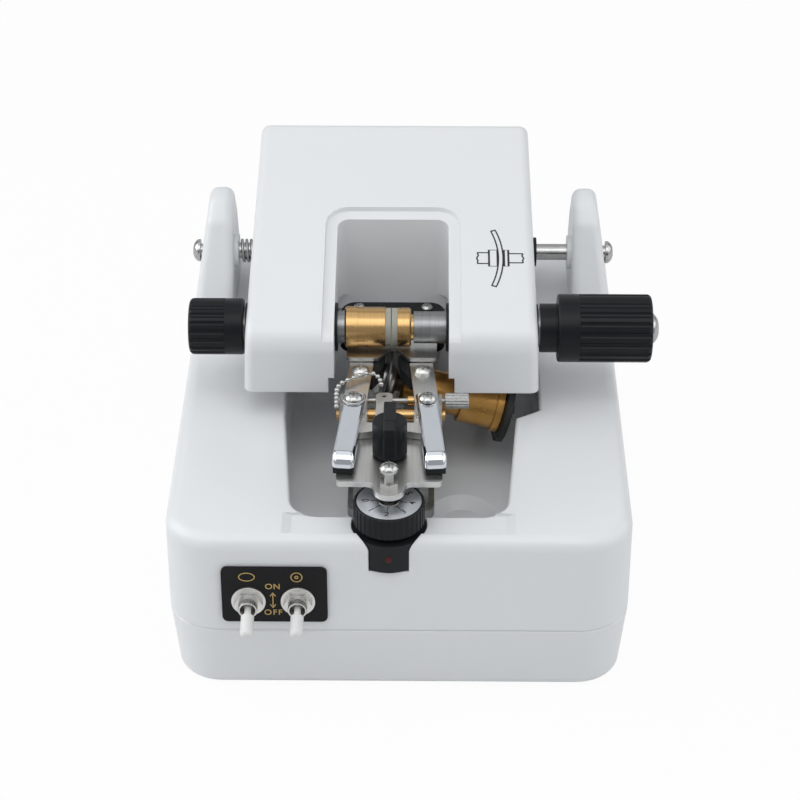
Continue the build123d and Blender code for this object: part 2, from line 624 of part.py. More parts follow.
def toggle_switches():
    """Bodies behind the wall, bushes through it, washers and hexagon nuts."""
    pieces = []
    for x in switch_places():
        front = forward(x, 0, SWITCH_Z)
        back = SHELL_WALL + SWITCH_BODY_DEPTH
        body = block(x - 3.6, x + 3.6, SHELL_WALL, back, SWITCH_Z - 4.5, SWITCH_Z + 6.5)
        reach = PANEL_THICK + SWITCH_BUSH_REACH
        bush = front * Pos(0, 0, (reach - SHELL_WALL) / 2) * Cylinder(SWITCH_BUSH_RADIUS, reach + SHELL_WALL)
        mouth = Cone(SWITCH_PIN_HALF_LENGTH + FREE_GAP, SWITCH_MOUTH_RADIUS, SWITCH_MOUTH_DEPTH)
        bush -= front * Pos(0, 0, reach - SWITCH_MOUTH_DEPTH / 2) * mouth
        washer = Cylinder(SWITCH_WASHER_RADIUS, SWITCH_WASHER_THICK) - Cylinder(
            SWITCH_BUSH_RADIUS, SWITCH_WASHER_THICK
        )
        nut = hexagon_nut(SWITCH_NUT_ACROSS_FLATS, SWITCH_NUT_THICK, SWITCH_BUSH_RADIUS)
        pieces.append(body + bush)
        pieces.append(front * Pos(0, 0, PANEL_THICK + SWITCH_WASHER_THICK / 2) * washer)
        pieces.append(front * Pos(0, 0, PANEL_THICK + SWITCH_WASHER_THICK) * nut)
    return pieces


def switch_lever(x):
    """Toggle lever on its cross pin, with its white sleeve, pointing forwards and down."""
    pivot_y = -(PANEL_THICK + SWITCH_BUSH_REACH - SWITCH_PIVOT_DEPTH)
    stem = Pos(0, 0, SLEEVE_START / 2 + 0.25) * Cylinder(SWITCH_LEVER_RADIUS, SLEEVE_START + 0.5)
    stem += Rot(0, 90, 0) * Cylinder(SWITCH_PIN_RADIUS, 2 * SWITCH_PIN_HALF_LENGTH)
    length = SLEEVE_END - SLEEVE_START
    sleeve = Pos(0, 0, SLEEVE_START + length / 2) * Cylinder(SLEEVE_TIP_RADIUS, length)
    sleeve = fillet(sleeve.edges().group_by(Axis.Z)[-1], SLEEVE_TIP_RADIUS * 0.7)
    return Pos(x, pivot_y, SWITCH_Z) * Rot(90 + SWITCH_OFF_ANGLE, 0, 0) * (stem + sleeve)


def inlet_cut():
    """Opening in the back wall for the power inlet."""
    y = BASE_DEPTH
    x, z = INLET_X, INLET_Z
    half_width, half_height = INLET_WIDTH / 2 + SEAT_GAP, INLET_HEIGHT / 2 + SEAT_GAP
    return block(x - half_width, x + half_width, y - 2 * SHELL_WALL, y + 1, z - half_height, z + half_height)


def power_inlet():
    """Three-pole appliance inlet, its socket open to the back, with three blades."""
    back = Pos(INLET_X, BASE_DEPTH, INLET_Z) * Rot(-90, 0, 0)
    flange = back * extrude(RectangleRounded(INLET_FLANGE_WIDTH, INLET_FLANGE_HEIGHT, 4), INLET_FLANGE_THICK)
    body = back * extrude(Rectangle(INLET_WIDTH, INLET_HEIGHT), -INLET_BODY_DEPTH)
    half_width, half_height, corner = SOCKET_WIDTH / 2, SOCKET_HEIGHT / 2, 4.5
    outline = make_face(
        Polyline(
            (-half_width, half_height),
            (half_width, half_height),
            (half_width, corner - half_height),
            (half_width - corner, -half_height),
            (corner - half_width, -half_height),
            (-half_width, corner - half_height),
            close=True,
        )
    )
    socket = back * Pos(0, 0, INLET_FLANGE_THICK - SOCKET_DEPTH) * extrude(outline, SOCKET_DEPTH + 1)
    inlet = flange + body - socket
    floor = INLET_FLANGE_THICK - SOCKET_DEPTH
    for x, z in ((-7, 1.5), (0, -2.5), (7, 1.5)):
        inlet += back * Pos(x, z, floor + 4.5) * Box(2, 4, 11)
    return inlet


def transformer():
    """Laminated core with its winding, standing on the tray."""
    z = FOOT_HEIGHT + SHELL_WALL
    x0, x1 = TRANSFORMER_X - TRANSFORMER_STACK / 2, TRANSFORMER_X + TRANSFORMER_STACK / 2
    y0, y1 = TRANSFORMER_Y - TRANSFORMER_LENGTH / 2, TRANSFORMER_Y + TRANSFORMER_LENGTH / 2
    core = block(x0, x1, y0, y1, z, z + TRANSFORMER_HEIGHT)
    x0, x1 = TRANSFORMER_X - TRANSFORMER_WIDTH / 2, TRANSFORMER_X + TRANSFORMER_WIDTH / 2
    winding = block(x0, x1, y0 + 7, y1 - 7, z + 6, z + TRANSFORMER_HEIGHT - 6)
    winding = fillet(winding.edges().filter_by(Axis.Z), 3)
    return core + winding


# Wheel, its spindle and its drive.


def motor_place(s):
    """Place on the wheel motor's shaft, s beyond the pulley, with local Z along the shaft."""
    return SPINDLE * Pos(WHEEL_MOTOR_DROP, WHEEL_MOTOR_BACK, PULLEY_S + s)


def wheel_motor():
    end = -FREE_GAP - 0.7
    body = motor_place(end - WHEEL_MOTOR_LENGTH / 2) * Cylinder(WHEEL_MOTOR_RADIUS, WHEEL_MOTOR_LENGTH)
    body = chamfer(body.edges().filter_by(GeomType.CIRCLE), 1)
    depth = 12
    return body - motor_place(end - depth / 2) * Cylinder(2 + RUNNING_FIT, depth)


def motor_pulley():
    wheel = Pos(0, 0, SPINDLE_PULLEY_THICK / 2) * Cylinder(MOTOR_PULLEY_RADIUS, SPINDLE_PULLEY_THICK)
    shaft_length = 10
    shaft = Pos(0, 0, -shaft_length / 2) * Cylinder(2, shaft_length)
    return motor_place(0) * (wheel + shaft)


def drive_belt():
    """Belt round the spindle's pulley and the motor's."""
    wheels = ((0, 0, SPINDLE_PULLEY_RADIUS), (WHEEL_MOTOR_DROP, WHEEL_MOTOR_BACK, MOTOR_PULLEY_RADIUS))

    def loop(extra):
        circles = [Pos(x, y) * CenterArc((0, 0), radius + extra, 0, 360) for x, y, radius in wheels]
        return make_hull(circles)

    band = loop(BELT_GAP + BELT_THICK) - loop(BELT_GAP)
    return SPINDLE * Pos(0, 0, PULLEY_S + 0.2) * extrude(band, SPINDLE_PULLEY_THICK - 0.4)


def spindle_housing():
    """Stepped brass housing with its flange, turned in one piece."""
    flange_end = HOUSING_END_S + HOUSING_FLANGE_THICK
    profile = make_face(
        Polyline(
            (0, HOUSING_START_S),
            (HOUSING_NECK_RADIUS - 0.8, HOUSING_START_S),
            (HOUSING_NECK_RADIUS, HOUSING_START_S + 0.8),
            (HOUSING_NECK_RADIUS, HOUSING_STEP_S),
            (HOUSING_RADIUS, HOUSING_STEP_S),
            (HOUSING_RADIUS, HOUSING_END_S),
            (HOUSING_FLANGE_RADIUS, HOUSING_END_S),
            (HOUSING_FLANGE_RADIUS, flange_end),
            (0, flange_end),
            close=True,
        )
    )
    body = SPINDLE * revolve(Plane.XZ * profile, Axis.Z)
    return body - spindle_piece(HOUSING_START_S - 1, flange_end + 1, SPINDLE_RADIUS + RUNNING_FIT)


def wheel_spindle():
    """Shaft with its knurled pulley."""
    end = PULLEY_S + SPINDLE_PULLEY_THICK
    shaft = spindle_piece(-HUB_LENGTH, PULLEY_S, SPINDLE_RADIUS)
    pulley = spindle_piece(PULLEY_S, end, SPINDLE_PULLEY_RADIUS)
    return shaft + pulley


def grooving_wheel():
    disc = spindle_piece(-WHEEL_THICK / 2, WHEEL_THICK / 2, WHEEL_RADIUS)
    return disc - spindle_piece(-WHEEL_THICK, WHEEL_THICK, SPINDLE_RADIUS)


def wheel_hub():
    """Two domed flanges that clamp the wheel on its spindle."""
    half = WHEEL_THICK / 2
    profile = make_face(
        Curve()
        + [
            Line((SPINDLE_RADIUS, half), (HUB_RADIUS, half)),
            Line((HUB_RADIUS, half), (HUB_RADIUS, half + 1)),
            ThreePointArc(
                (HUB_RADIUS, half + 1), (HUB_RADIUS * 0.87, half + 2.9), (SPINDLE_RADIUS, HUB_LENGTH)
            ),
            Line((SPINDLE_RADIUS, HUB_LENGTH), (SPINDLE_RADIUS, half)),
        ]
    )
    right = revolve(Plane.XZ * profile, Axis.Z)
    return [SPINDLE * right, SPINDLE * mirror(right, Plane.XY)]


def mechanism_base():
    """Casting on the basin's floor: cheeks for the guide's pin and a cradle for the spindle housing."""
    foot_top = BASIN_FLOOR + 3.5
    foot = block(-CHEEK_OUTER_X - 2, CHEEK_OUTER_X + 2, GUIDE_PIN_Y - 10, WHEEL_Y + 11, BASIN_FLOOR, foot_top)
    foot = fillet(foot.edges().filter_by(Axis.Z), 4)
    inner, pin_y = CHEEK_OUTER_X - CHEEK_THICK, GUIDE_PIN_Y
    cheek = block(inner, CHEEK_OUTER_X, pin_y - 6, pin_y + 6, BASIN_FLOOR, foot_top + 8)
    half = CHEEK_TOP_RADIUS
    neck_top = block(inner, CHEEK_OUTER_X, pin_y - half, pin_y + half, BASIN_FLOOR, GUIDE_PIN_Z)
    eye = axle(inner, CHEEK_OUTER_X, pin_y, GUIDE_PIN_Z, CHEEK_TOP_RADIUS)
    web = block(-CHEEK_OUTER_X, CHEEK_OUTER_X, pin_y - 1.5, pin_y + 1.5, BASIN_FLOOR, GUIDE_PIN_Z - 9)
    cradle_x = (SPINDLE * Pos(0, 0, HOUSING_START_S + 6)).position
    cradle = block(cradle_x.X - 4.5, cradle_x.X + 4.5, WHEEL_Y - 10, WHEEL_Y + 10, BASIN_FLOOR, cradle_x.Z)
    base = foot + cheek + neck_top + eye + web + cradle
    for piece in (cheek, neck_top, eye):
        base += mirror(piece, Plane.YZ)
    base -= axle(-CHEEK_OUTER_X - 1, CHEEK_OUTER_X + 1, GUIDE_PIN_Y, GUIDE_PIN_Z, GUIDE_PIN_RADIUS)
    return base - spindle_piece(0, HOUSING_STEP_S, HOUSING_NECK_RADIUS)


def well_cover():
    """Black plate over the tower, behind the wheel."""
    middle = (COVER_FRONT_Y + COVER_BACK_Y) / 2
    plan = RectangleRounded(2 * COVER_HALF_WIDTH, COVER_BACK_Y - COVER_FRONT_Y, COVER_CORNER_RADIUS)
    plate = Pos(0, middle, COVER_BOTTOM_Z) * extrude(plan, COVER_TOP_Z - COVER_BOTTOM_Z)
    plate = chamfer(plate.edges().group_by(Axis.Z)[-1], 0.5)
    for x in (-COVER_SCREW_X, COVER_SCREW_X):
        plate -= post(x, COVER_SCREW_Y, COVER_BOTTOM_Z - 1, COVER_TOP_Z + 1, 1.0)
    return plate - wheel_clearance()


def wheel_clearance():
    """Space that the wheel and its hub turn in."""
    return spindle_piece(-1.6, 1.6, WHEEL_RADIUS + 1.2) + spindle_piece(-6, 6, HUB_RADIUS + 1.2)


def cover_screws():
    screws = []
    for x in (-COVER_SCREW_X, COVER_SCREW_X):
        length = COVER_TOP_Z - COVER_BOTTOM_Z + 6
        screws.append(Pos(x, COVER_SCREW_Y, COVER_TOP_Z) * screw(2.0, 1.4, 1.0, length))
    return screws


def fork_plate():
    """Steel plate on the cover's front, notched for the lens over the wheel."""
    z = COVER_TOP_Z
    notch_y = FORK_FRONT_Y + FORK_NOTCH_DEPTH
    outline = make_face(
        Polyline(
            (-FORK_HALF_WIDTH, FORK_FRONT_Y),
            (FORK_NOTCH_X - FORK_NOTCH_HALF_WIDTH, FORK_FRONT_Y),
            (FORK_NOTCH_X - 0.9, notch_y),
            (FORK_NOTCH_X + 0.9, notch_y),
            (FORK_NOTCH_X + FORK_NOTCH_HALF_WIDTH, FORK_FRONT_Y),
            (FORK_HALF_WIDTH, FORK_FRONT_Y),
            (FORK_HALF_WIDTH, FORK_BACK_Y),
            (-FORK_HALF_WIDTH, FORK_BACK_Y),
            close=True,
        )
    )
    tips = outline.vertices().filter_by(lambda v: v.Y < FORK_FRONT_Y + 0.1)
    outline = fillet(tips, 1.2)
    return Pos(0, 0, z) * extrude(outline, FORK_THICK)


# Depth dial.


def dial_holder():
    holder = post(0, DIAL_Y, HOLDER_BOTTOM_Z, HOLDER_TOP_Z, HOLDER_RADIUS)
    holder = chamfer(holder.edges().group_by(Axis.Z)[0], 0.6)
    return holder - post(0, DIAL_Y, HOLDER_BOTTOM_Z + 2, HOLDER_TOP_Z + 1, DIAL_STEM_RADIUS + RUNNING_FIT)


def dial_knob():
    """Fluted dial with a stem in the holder and a bore for the plunger."""
    body = post(0, DIAL_Y, DIAL_BOTTOM_Z, DIAL_TOP_Z, DIAL_RADIUS)
    body = chamfer(body.edges().filter_by(GeomType.CIRCLE), 0.5)
    place = Pos(0, DIAL_Y, DIAL_BOTTOM_Z)
    body = fluted(body, place, DIAL_RADIUS, DIAL_TOP_Z - DIAL_BOTTOM_Z, DIAL_FLUTES, 0.7, 0.35)
    stem_bottom = HOLDER_BOTTOM_Z + 2 + SEAT_GAP
    body += post(0, DIAL_Y, stem_bottom, DIAL_BOTTOM_Z + 1, DIAL_STEM_RADIUS)
    body -= post(0, DIAL_Y, DIAL_TOP_Z - DIAL_FACE_THICK, DIAL_TOP_Z + 1, DIAL_FACE_RADIUS + RUNNING_FIT)
    return body - post(0, DIAL_Y, stem_bottom - 1, DIAL_TOP_Z + 1, PLUNGER_RADIUS + RUNNING_FIT)


def dial_face():
    bottom = DIAL_TOP_Z - DIAL_FACE_THICK
    disc = post(0, DIAL_Y, bottom, DIAL_TOP_Z, DIAL_FACE_RADIUS)
    return disc - post(0, DIAL_Y, bottom - 1, DIAL_TOP_Z + 1, PLUNGER_RADIUS + RUNNING_FIT)


def dial_plunger():
    """Pin that the dial raises and lowers under the limit screw."""
    pin = post(0, DIAL_Y, HOLDER_BOTTOM_Z + 4, PLUNGER_TOP_Z, PLUNGER_RADIUS)
    return chamfer(pin.edges().group_by(Axis.Z)[-1], 0.4)


# Guide unit.


def guide_pin():
    """Pin with a head and a clip, and the brass sleeve on it between the cheeks."""
    end = PLATE_HALF_WIDTH + FREE_GAP
    pin = axle(-end, end, GUIDE_PIN_Y, GUIDE_PIN_Z, GUIDE_PIN_RADIUS)
    for x0, x1 in ((-end - 0.8, -end), (end, end + 0.8)):
        pin += axle(x0, x1, GUIDE_PIN_Y, GUIDE_PIN_Z, GUIDE_PIN_HEAD_RADIUS)
    inner = CHEEK_OUTER_X - CHEEK_THICK
    sleeve = axle(-inner, inner, GUIDE_PIN_Y, GUIDE_PIN_Z, GUIDE_BUSH_RADIUS)
    return pin + sleeve


def guide_plate():
    """Tipping plate with the limit screw's tab, two pin flanges and two ears for the adjuster."""
    outline = Pos(0, (PLATE_FRONT_Y + PLATE_BACK_Y) / 2) * Rectangle(
        2 * PLATE_HALF_WIDTH, PLATE_BACK_Y - PLATE_FRONT_Y
    )
    corners = outline.vertices().group_by(Axis.Y)[0]
    outline = fillet(corners, 1.6)
    tab = Pos(0, DIAL_Y) * Circle(PLATE_TAB_RADIUS)
    tab += Pos(0, (DIAL_Y + PLATE_FRONT_Y) / 2 + 1) * Rectangle(
        2 * PLATE_TAB_RADIUS, PLATE_FRONT_Y - DIAL_Y + 2
    )
    outline = outline + tab
    inner = outline.vertices().filter_by(
        lambda v: abs(v.Y - PLATE_FRONT_Y) < 0.1 and abs(abs(v.X) - PLATE_TAB_RADIUS) < 0.1
    )
    outline = fillet(inner, PLATE_TAB_FILLET)
    plate = Pos(0, 0, PLATE_BOTTOM_Z) * extrude(outline, PLATE_THICK)
    window = PLATE_WINDOW_HALF_WIDTH
    plate -= block(-window, window, PLATE_WINDOW_Y, PLATE_BACK_Y + 1, PLATE_BOTTOM_Z - 1, PLATE_TOP_Z + 1)
    plate -= block(-7.6, 7.6, CARRIAGE_WINDOW_Y + 1, PLATE_BACK_Y, PLATE_BOTTOM_Z - 1, PLATE_TOP_Z + 1)
    flange_inner = PLATE_HALF_WIDTH - PLATE_FLANGE_THICK
    flange = block(
        flange_inner, PLATE_HALF_WIDTH, GUIDE_PIN_Y - 5, GUIDE_PIN_Y + 6, PLATE_FLANGE_BOTTOM_Z, PLATE_TOP_Z
    )
    flange = fillet(flange.edges().filter_by(Axis.X).group_by(Axis.Z)[0], 2.5)
    ear_inner = PLATE_HALF_WIDTH - ADJUSTER_EAR_THICK
    ear_top = LEVER_BOTTOM_Z - 4 * SEAT_GAP
    lug = block(ear_inner, PLATE_HALF_WIDTH, ADJUSTER_Y - 1.8, ADJUSTER_Y + 1.8, PLATE_BOTTOM_Z, ear_top)
    for piece in both_sides(flange) + both_sides(lug):
        plate += piece
    end = PLATE_HALF_WIDTH + 1
    plate -= axle(-end, end, GUIDE_PIN_Y, GUIDE_PIN_Z, GUIDE_PIN_RADIUS + RUNNING_FIT)
    plate -= axle(-end, end, ADJUSTER_Y, ADJUSTER_Z, ADJUSTER_ROD_RADIUS + RUNNING_FIT)
    plate -= post(0, DIAL_Y, PLATE_BOTTOM_Z - 1, PLATE_TOP_Z + 1, LIMIT_SCREW_RADIUS)
    return plate - post(0, MODE_KNOB_Y, PLATE_BOTTOM_Z - 1, PLATE_TOP_Z + 1, MODE_SHAFT_RADIUS + RUNNING_FIT)


def limit_screw():
    """Screw that rests on the dial's plunger, with its lock nut."""
    tip = PLUNGER_TOP_Z + FREE_GAP
    place = Pos(0, DIAL_Y, LIMIT_SCREW_HEAD_Z)
    stop = place * screw(3.0, 2.3, LIMIT_SCREW_RADIUS, LIMIT_SCREW_HEAD_Z - tip)
    nut = hexagon_nut(LIMIT_NUT_ACROSS_FLATS, LIMIT_NUT_HEIGHT, LIMIT_SCREW_RADIUS)
    return [stop, Pos(0, DIAL_Y, PLATE_TOP_Z) * Rot(0, 0, 30) * nut]


def mode_knob():
    """Selector with a pointer wing across its top and down its front."""
    body = post(0, MODE_KNOB_Y, MODE_KNOB_BOTTOM_Z, MODE_KNOB_TOP_Z, MODE_KNOB_RADIUS)
    body = fillet(body.edges().group_by(Axis.Z)[-1], 0.8)
    front = -MODE_KNOB_RADIUS - 0.7
    outline = make_face(
        Polyline(
            (front, MODE_KNOB_BOTTOM_Z + 1.4),
            (front, MODE_WING_TOP_Z - 2.0),
            (front + 3.0, MODE_WING_TOP_Z),
            (MODE_WING_BACK, MODE_WING_TOP_Z),
            (MODE_WING_BACK, MODE_WING_TOP_Z - 2.6),
            (0, MODE_KNOB_TOP_Z - 2.0),
            (0, MODE_KNOB_BOTTOM_Z + 1.4),
            close=True,
        )
    )
    outline = fillet(outline.vertices().filter_by(lambda v: v.Y > MODE_WING_TOP_Z - 3), 0.9)
    wing = extrude(Plane.YZ * outline, MODE_WING_WIDTH / 2, both=True)
    wing = fillet(wing.edges().filter_by(lambda e: e.center().Z > MODE_WING_TOP_Z - 0.1), 0.6)
    base = PLATE_TOP_Z + SEAT_GAP
    collar = post(0, MODE_KNOB_Y, base, MODE_KNOB_BOTTOM_Z, MODE_KNOB_RADIUS - 0.8)
    shaft = post(0, MODE_KNOB_Y, PLATE_BOTTOM_Z - 1.5, base, MODE_SHAFT_RADIUS)
    return body + Pos(0, MODE_KNOB_Y, 0) * wing + collar + shaft


def guide_carriage():
    """Plate that the adjuster shifts sideways, notched in front round the selector."""
    half = CARRIAGE_HALF_WIDTH
    outline = make_face(
        Polyline(
            (-half, CARRIAGE_FRONT_Y + 2),
            (-half + 3, CARRIAGE_FRONT_Y),
            (-5, CARRIAGE_FRONT_Y + 1.5),
            (5, CARRIAGE_FRONT_Y + 1.5),
            (half - 3, CARRIAGE_FRONT_Y),
            (half, CARRIAGE_FRONT_Y + 2),
            (half, CARRIAGE_BACK_Y),
            (-half, CARRIAGE_BACK_Y),
            close=True,
        )
    )
    plate = Pos(0, 0, CARRIAGE_BOTTOM_Z) * extrude(outline, CARRIAGE_THICK)
    window = CARRIAGE_WINDOW_HALF_WIDTH
    plate -= block(
        -window, window, CARRIAGE_WINDOW_Y, CARRIAGE_BACK_Y + 1, CARRIAGE_BOTTOM_Z - 1, CARRIAGE_TOP_Z + 1
    )
    trough = ADJUSTER_ROD_RADIUS + SEAT_GAP
    y0, y1 = ADJUSTER_Y - trough, ADJUSTER_Y + trough
    plate -= block(-half - 1, half + 1, y0, y1, CARRIAGE_BOTTOM_Z - 1, ADJUSTER_Z + trough)
    for x in (-ARM_PIVOT_X, ARM_PIVOT_X):
        plate -= post(x, ARM_PIVOT_Y, CARRIAGE_BOTTOM_Z, CARRIAGE_TOP_Z + 1, ARM_SCREW_RADIUS)
    return plate


def carriage_nut():
    """Brass nut on the adjuster's thread, against the carriage's right leg."""
    x1 = CARRIAGE_WINDOW_HALF_WIDTH
    nut = axle(x1 - CARRIAGE_NUT_LENGTH, x1, ADJUSTER_Y, ADJUSTER_Z, CARRIAGE_NUT_RADIUS)
    return nut - axle(0, x1 + 1, ADJUSTER_Y, ADJUSTER_Z, ADJUSTER_ROD_RADIUS + RUNNING_FIT)


def adjuster():
    """Thin rod across the plate with a knurled knob at its right end."""
    end = ADJUSTER_ROD_HALF_LENGTH
    rod = axle(-end, end + 1, ADJUSTER_Y, ADJUSTER_Z, ADJUSTER_ROD_RADIUS)
    place = Pos(end, ADJUSTER_Y, ADJUSTER_Z) * Rot(0, 90, 0)
    length = ADJUSTER_KNOB_LENGTH
    knob = Pos(0, 0, length / 2) * Cylinder(ADJUSTER_KNOB_RADIUS, length)
    knob = chamfer(knob.edges().filter_by(GeomType.CIRCLE), 0.3)
    knob = fluted(knob, Pos(0, 0, 0), ADJUSTER_KNOB_RADIUS, length, ADJUSTER_KNOB_FLUTES, 0.35, 0.18)
    return rod + place * knob


def arm_place():
    """Place of the right arm: origin at its pivot on z = 0, local +Y back along the arm."""
    return Pos(ARM_PIVOT_X, ARM_PIVOT_Y, 0) * Rot(0, 0, ARM_ANGLE)


def arm_bar():
    """Chrome finger bar with a rounded, bent-down nose."""
    front = -ARM_BAR_FRONT - ARM_NOSE_RADIUS
    over_lever = LEVER_TOP_Z + SEAT_GAP
    corner = make_face(
        Polyline(
            (front, ARM_NOSE_BOTTOM_Z),
            (front, ARM_TOP_Z),
            (ARM_BAR_BACK, ARM_TOP_Z),
            (ARM_BAR_BACK, over_lever),
            (-5.0, over_lever),
            (-6.0, CARRIAGE_TOP_Z + SEAT_GAP),
            (front + 6.0, CARRIAGE_TOP_Z + SEAT_GAP),
            (front + 4.2, ARM_NOSE_BOTTOM_Z),
            close=True,
        )
    )
    nose = corner.vertices().filter_by(lambda v: v.X < front + 0.1 and v.Y > ARM_TOP_Z - 0.1)
    side = fillet(nose, ARM_NOSE_RADIUS)
    bar = extrude(Plane.YZ * side, ARM_WIDTH / 2, both=True)
    bar = fillet(bar.edges().filter_by(Axis.Z).group_by(Axis.Y)[0], 1.6)
    bar -= post(0, 0, CARRIAGE_TOP_Z - 1, ARM_TOP_Z + 1, ARM_SCREW_RADIUS + RUNNING_FIT)
    return arm_place() * bar


def arm_lever():
    """Satin strip that carries the guide block on the arm's back end, with the block's screw."""
    half = LEVER_WIDTH / 2
    strip = block(-half, half, -4.6, LEVER_BACK, LEVER_BOTTOM_Z, LEVER_TOP_Z)
    strip = fillet(strip.edges().filter_by(Axis.Z), 1.2)
    strip -= post(0, 0, LEVER_BOTTOM_Z - 1, LEVER_TOP_Z + 1, ARM_SCREW_RADIUS + RUNNING_FIT)
    strip -= post(0, BLOCK_SCREW_BACK, LEVER_BOTTOM_Z - 1, LEVER_TOP_Z + 1, ARM_SCREW_RADIUS)
    place = arm_place() * Pos(0, BLOCK_SCREW_BACK, LEVER_TOP_Z)
    length = LEVER_TOP_Z - LEVER_BOTTOM_Z + 2.5
    fixing = screw(ARM_SCREW_HEAD_RADIUS, ARM_SCREW_HEAD_HEIGHT, ARM_SCREW_RADIUS, length)
    return [arm_place() * strip, place * fixing]


def guide_block():
    """Black nylon block whose nose stands beside the wheel, and the rest under the bar's nose."""
    inner = arm_place().inverse() * Pos(BLOCK_INNER_X, ARM_PIVOT_Y + BLOCK_BACK - 6, 0)
    inner_x = inner.position.X
    outline = make_face(
        Polyline(
            (-4.2, BLOCK_FRONT),
            (2.6, BLOCK_FRONT),
            (2.6, BLOCK_BACK - 5.5),
            (-3.0, BLOCK_BACK),
            (inner_x, BLOCK_BACK),
            (inner_x, BLOCK_BACK - 8),
            close=True,
        )
    )
    outline = fillet(outline.vertices().group_by(Axis.X)[0], 1.0)
    body = Pos(0, 0, BLOCK_BOTTOM_Z) * extrude(outline, LEVER_BOTTOM_Z - BLOCK_BOTTOM_Z)
    nose_edge = -LEVER_WIDTH / 2 - SEAT_GAP
    nose = Pos(0, 0, BLOCK_BOTTOM_Z) * extrude(outline, BLOCK_TOP_Z - BLOCK_BOTTOM_Z)
    nose = nose & block(inner_x - 2, nose_edge, 0, BLOCK_BACK + 1, BLOCK_BOTTOM_Z, BLOCK_TOP_Z + 1)
    body += nose
    body -= post(0, BLOCK_SCREW_BACK, LEVER_BOTTOM_Z - 3, LEVER_TOP_Z, ARM_SCREW_RADIUS)
    front = -ARM_BAR_FRONT - ARM_NOSE_RADIUS
    half = ARM_WIDTH / 2 - 0.4
    rest = block(-half, half, front + 0.5, front + 4.1, PLATE_TOP_Z + SEAT_GAP, ARM_NOSE_BOTTOM_Z)
    return [arm_place() * body, arm_place() * rest]


def arm_pivot_screws():
    screws = []
    for x in (-ARM_PIVOT_X, ARM_PIVOT_X):
        z = ARM_TOP_Z + SEAT_GAP
        piece = screw(ARM_SCREW_HEAD_RADIUS, ARM_SCREW_HEAD_HEIGHT, ARM_SCREW_RADIUS, z - CARRIAGE_BOTTOM_Z)
        screws.append(Pos(x, ARM_PIVOT_Y, z) * piece)
    return screws


def bead_chain():
    """Beads on links along a hand-laid route, with the wire loop round the left arm's screw."""
    route = Spline(*[(x, y, CHAIN_Z) for x, y in CHAIN_ROUTE])
    count = int(route.length / BEAD_SPACING)
    places = [route @ (i / count) for i in range(count + 1)]
    chain = Part()
    for here, following in zip(places, places[1:]):
        chain += Pos(*here) * Sphere(BEAD_RADIUS)
        link = following - here
        middle = Plane(origin=here + link * 0.5, z_dir=link)
        chain += middle * Cylinder(CHAIN_LINK_RADIUS, link.length)
    chain += Pos(*places[-1]) * Sphere(BEAD_RADIUS)
    loop_radius = ARM_SCREW_HEAD_RADIUS + 0.7
    loop = Pos(-ARM_PIVOT_X, ARM_PIVOT_Y, ARM_TOP_Z + SEAT_GAP + 0.3) * Torus(loop_radius, 0.3)
    return [chain, loop]


def chain_tag():
    """Thin steel tag that leans from the adjuster's rod onto the carriage."""
    plan = RectangleRounded(TAG_WIDTH, TAG_LENGTH, 1.8)
    tag = extrude(plan, TAG_THICK) - Pos(0, TAG_LENGTH / 2 - 2.2, 0) * Cylinder(0.9, 4)
    low_z, high_z = ADJUSTER_Z + ADJUSTER_ROD_RADIUS + SEAT_GAP, CARRIAGE_TOP_Z + SEAT_GAP
    run = ADJUSTER_Y - CARRIAGE_WINDOW_Y
    lean = degrees(atan2(low_z - high_z, run))
    middle_y = CARRIAGE_WINDOW_Y + run * 0.55
    middle_z = high_z + (middle_y - CARRIAGE_WINDOW_Y) / run * (low_z - high_z)
    return Pos(-2.2, middle_y, middle_z) * Rot(lean, 0, 0) * tag


# Head.


def head_profile(inset):
    """Side view of the head, drawn in by inset, as a face in the YZ plane."""
    front, back, rim = HEAD_FRONT_Y + inset, HEAD_BACK_Y - inset, HEAD_RIM_Z
    slope = tan(radians(HEAD_TOP_SLOPE))
    drop = inset / cos(radians(HEAD_TOP_SLOPE))
    front_top = HEAD_FRONT_TOP_Z + inset * slope - drop
    back_top = front_top + (back - front) * slope
    outline = make_face(Polyline((front, rim), (front, front_top), (back, back_top), (back, rim), close=True))
    tall = outline.vertices().filter_by(lambda v: v.X < front + 1 and v.Y > rim + 1)
    outline = fillet(tall, HEAD_FRONT_FILLET - inset)
    tall = outline.vertices().filter_by(lambda v: v.X > back - 1 and v.Y > rim + 1)
    return fillet(tall, HEAD_BACK_FILLET - inset)


def head_solid(inset):
    """Head's outer shape drawn in by inset: the side view pushed out to drafted sides."""
    body = extrude(Plane.YZ * head_profile(inset), HEAD_HALF_WIDTH, both=True)
    side = HEAD_HALF_WIDTH - inset
    for direction in (-1, 1):
        tilt = Rot(0, -direction * HEAD_SIDE_DRAFT, 0)
        size = HEAD_BACK_Y
        waste = Pos(direction * side, size / 2 + HEAD_FRONT_Y / 2, HEAD_RIM_Z) * tilt
        waste *= Pos(direction * size / 2, 0, 0) * Box(size, size, size)
        body -= waste
    return body


def slot_solid(grow, bottom):
    """Lens slot grown by grow, from bottom up."""
    half = SLOT_HALF_WIDTH + grow
    y0, y1 = HEAD_FRONT_Y / 2, SLOT_BACK_Y + grow
    solid = block(-half, half, y0, y1, bottom, 2 * HEAD_FRONT_TOP_Z)
    corners = solid.edges().filter_by(Axis.Z).group_by(Axis.Y)[-1]
    return fillet(corners, SLOT_CORNER_RADIUS + grow)


def ledge(grow):
    """Recess beside the slot, grown by grow; it dies out in the head's front face."""
    under = Pos(0, -LEDGE_DEPTH - FREE_GAP, 0) * head_solid(LEDGE_DEPTH + grow)
    return slot_solid(LEDGE_WIDTH + grow, LEDGE_BOTTOM_Z - grow) - under


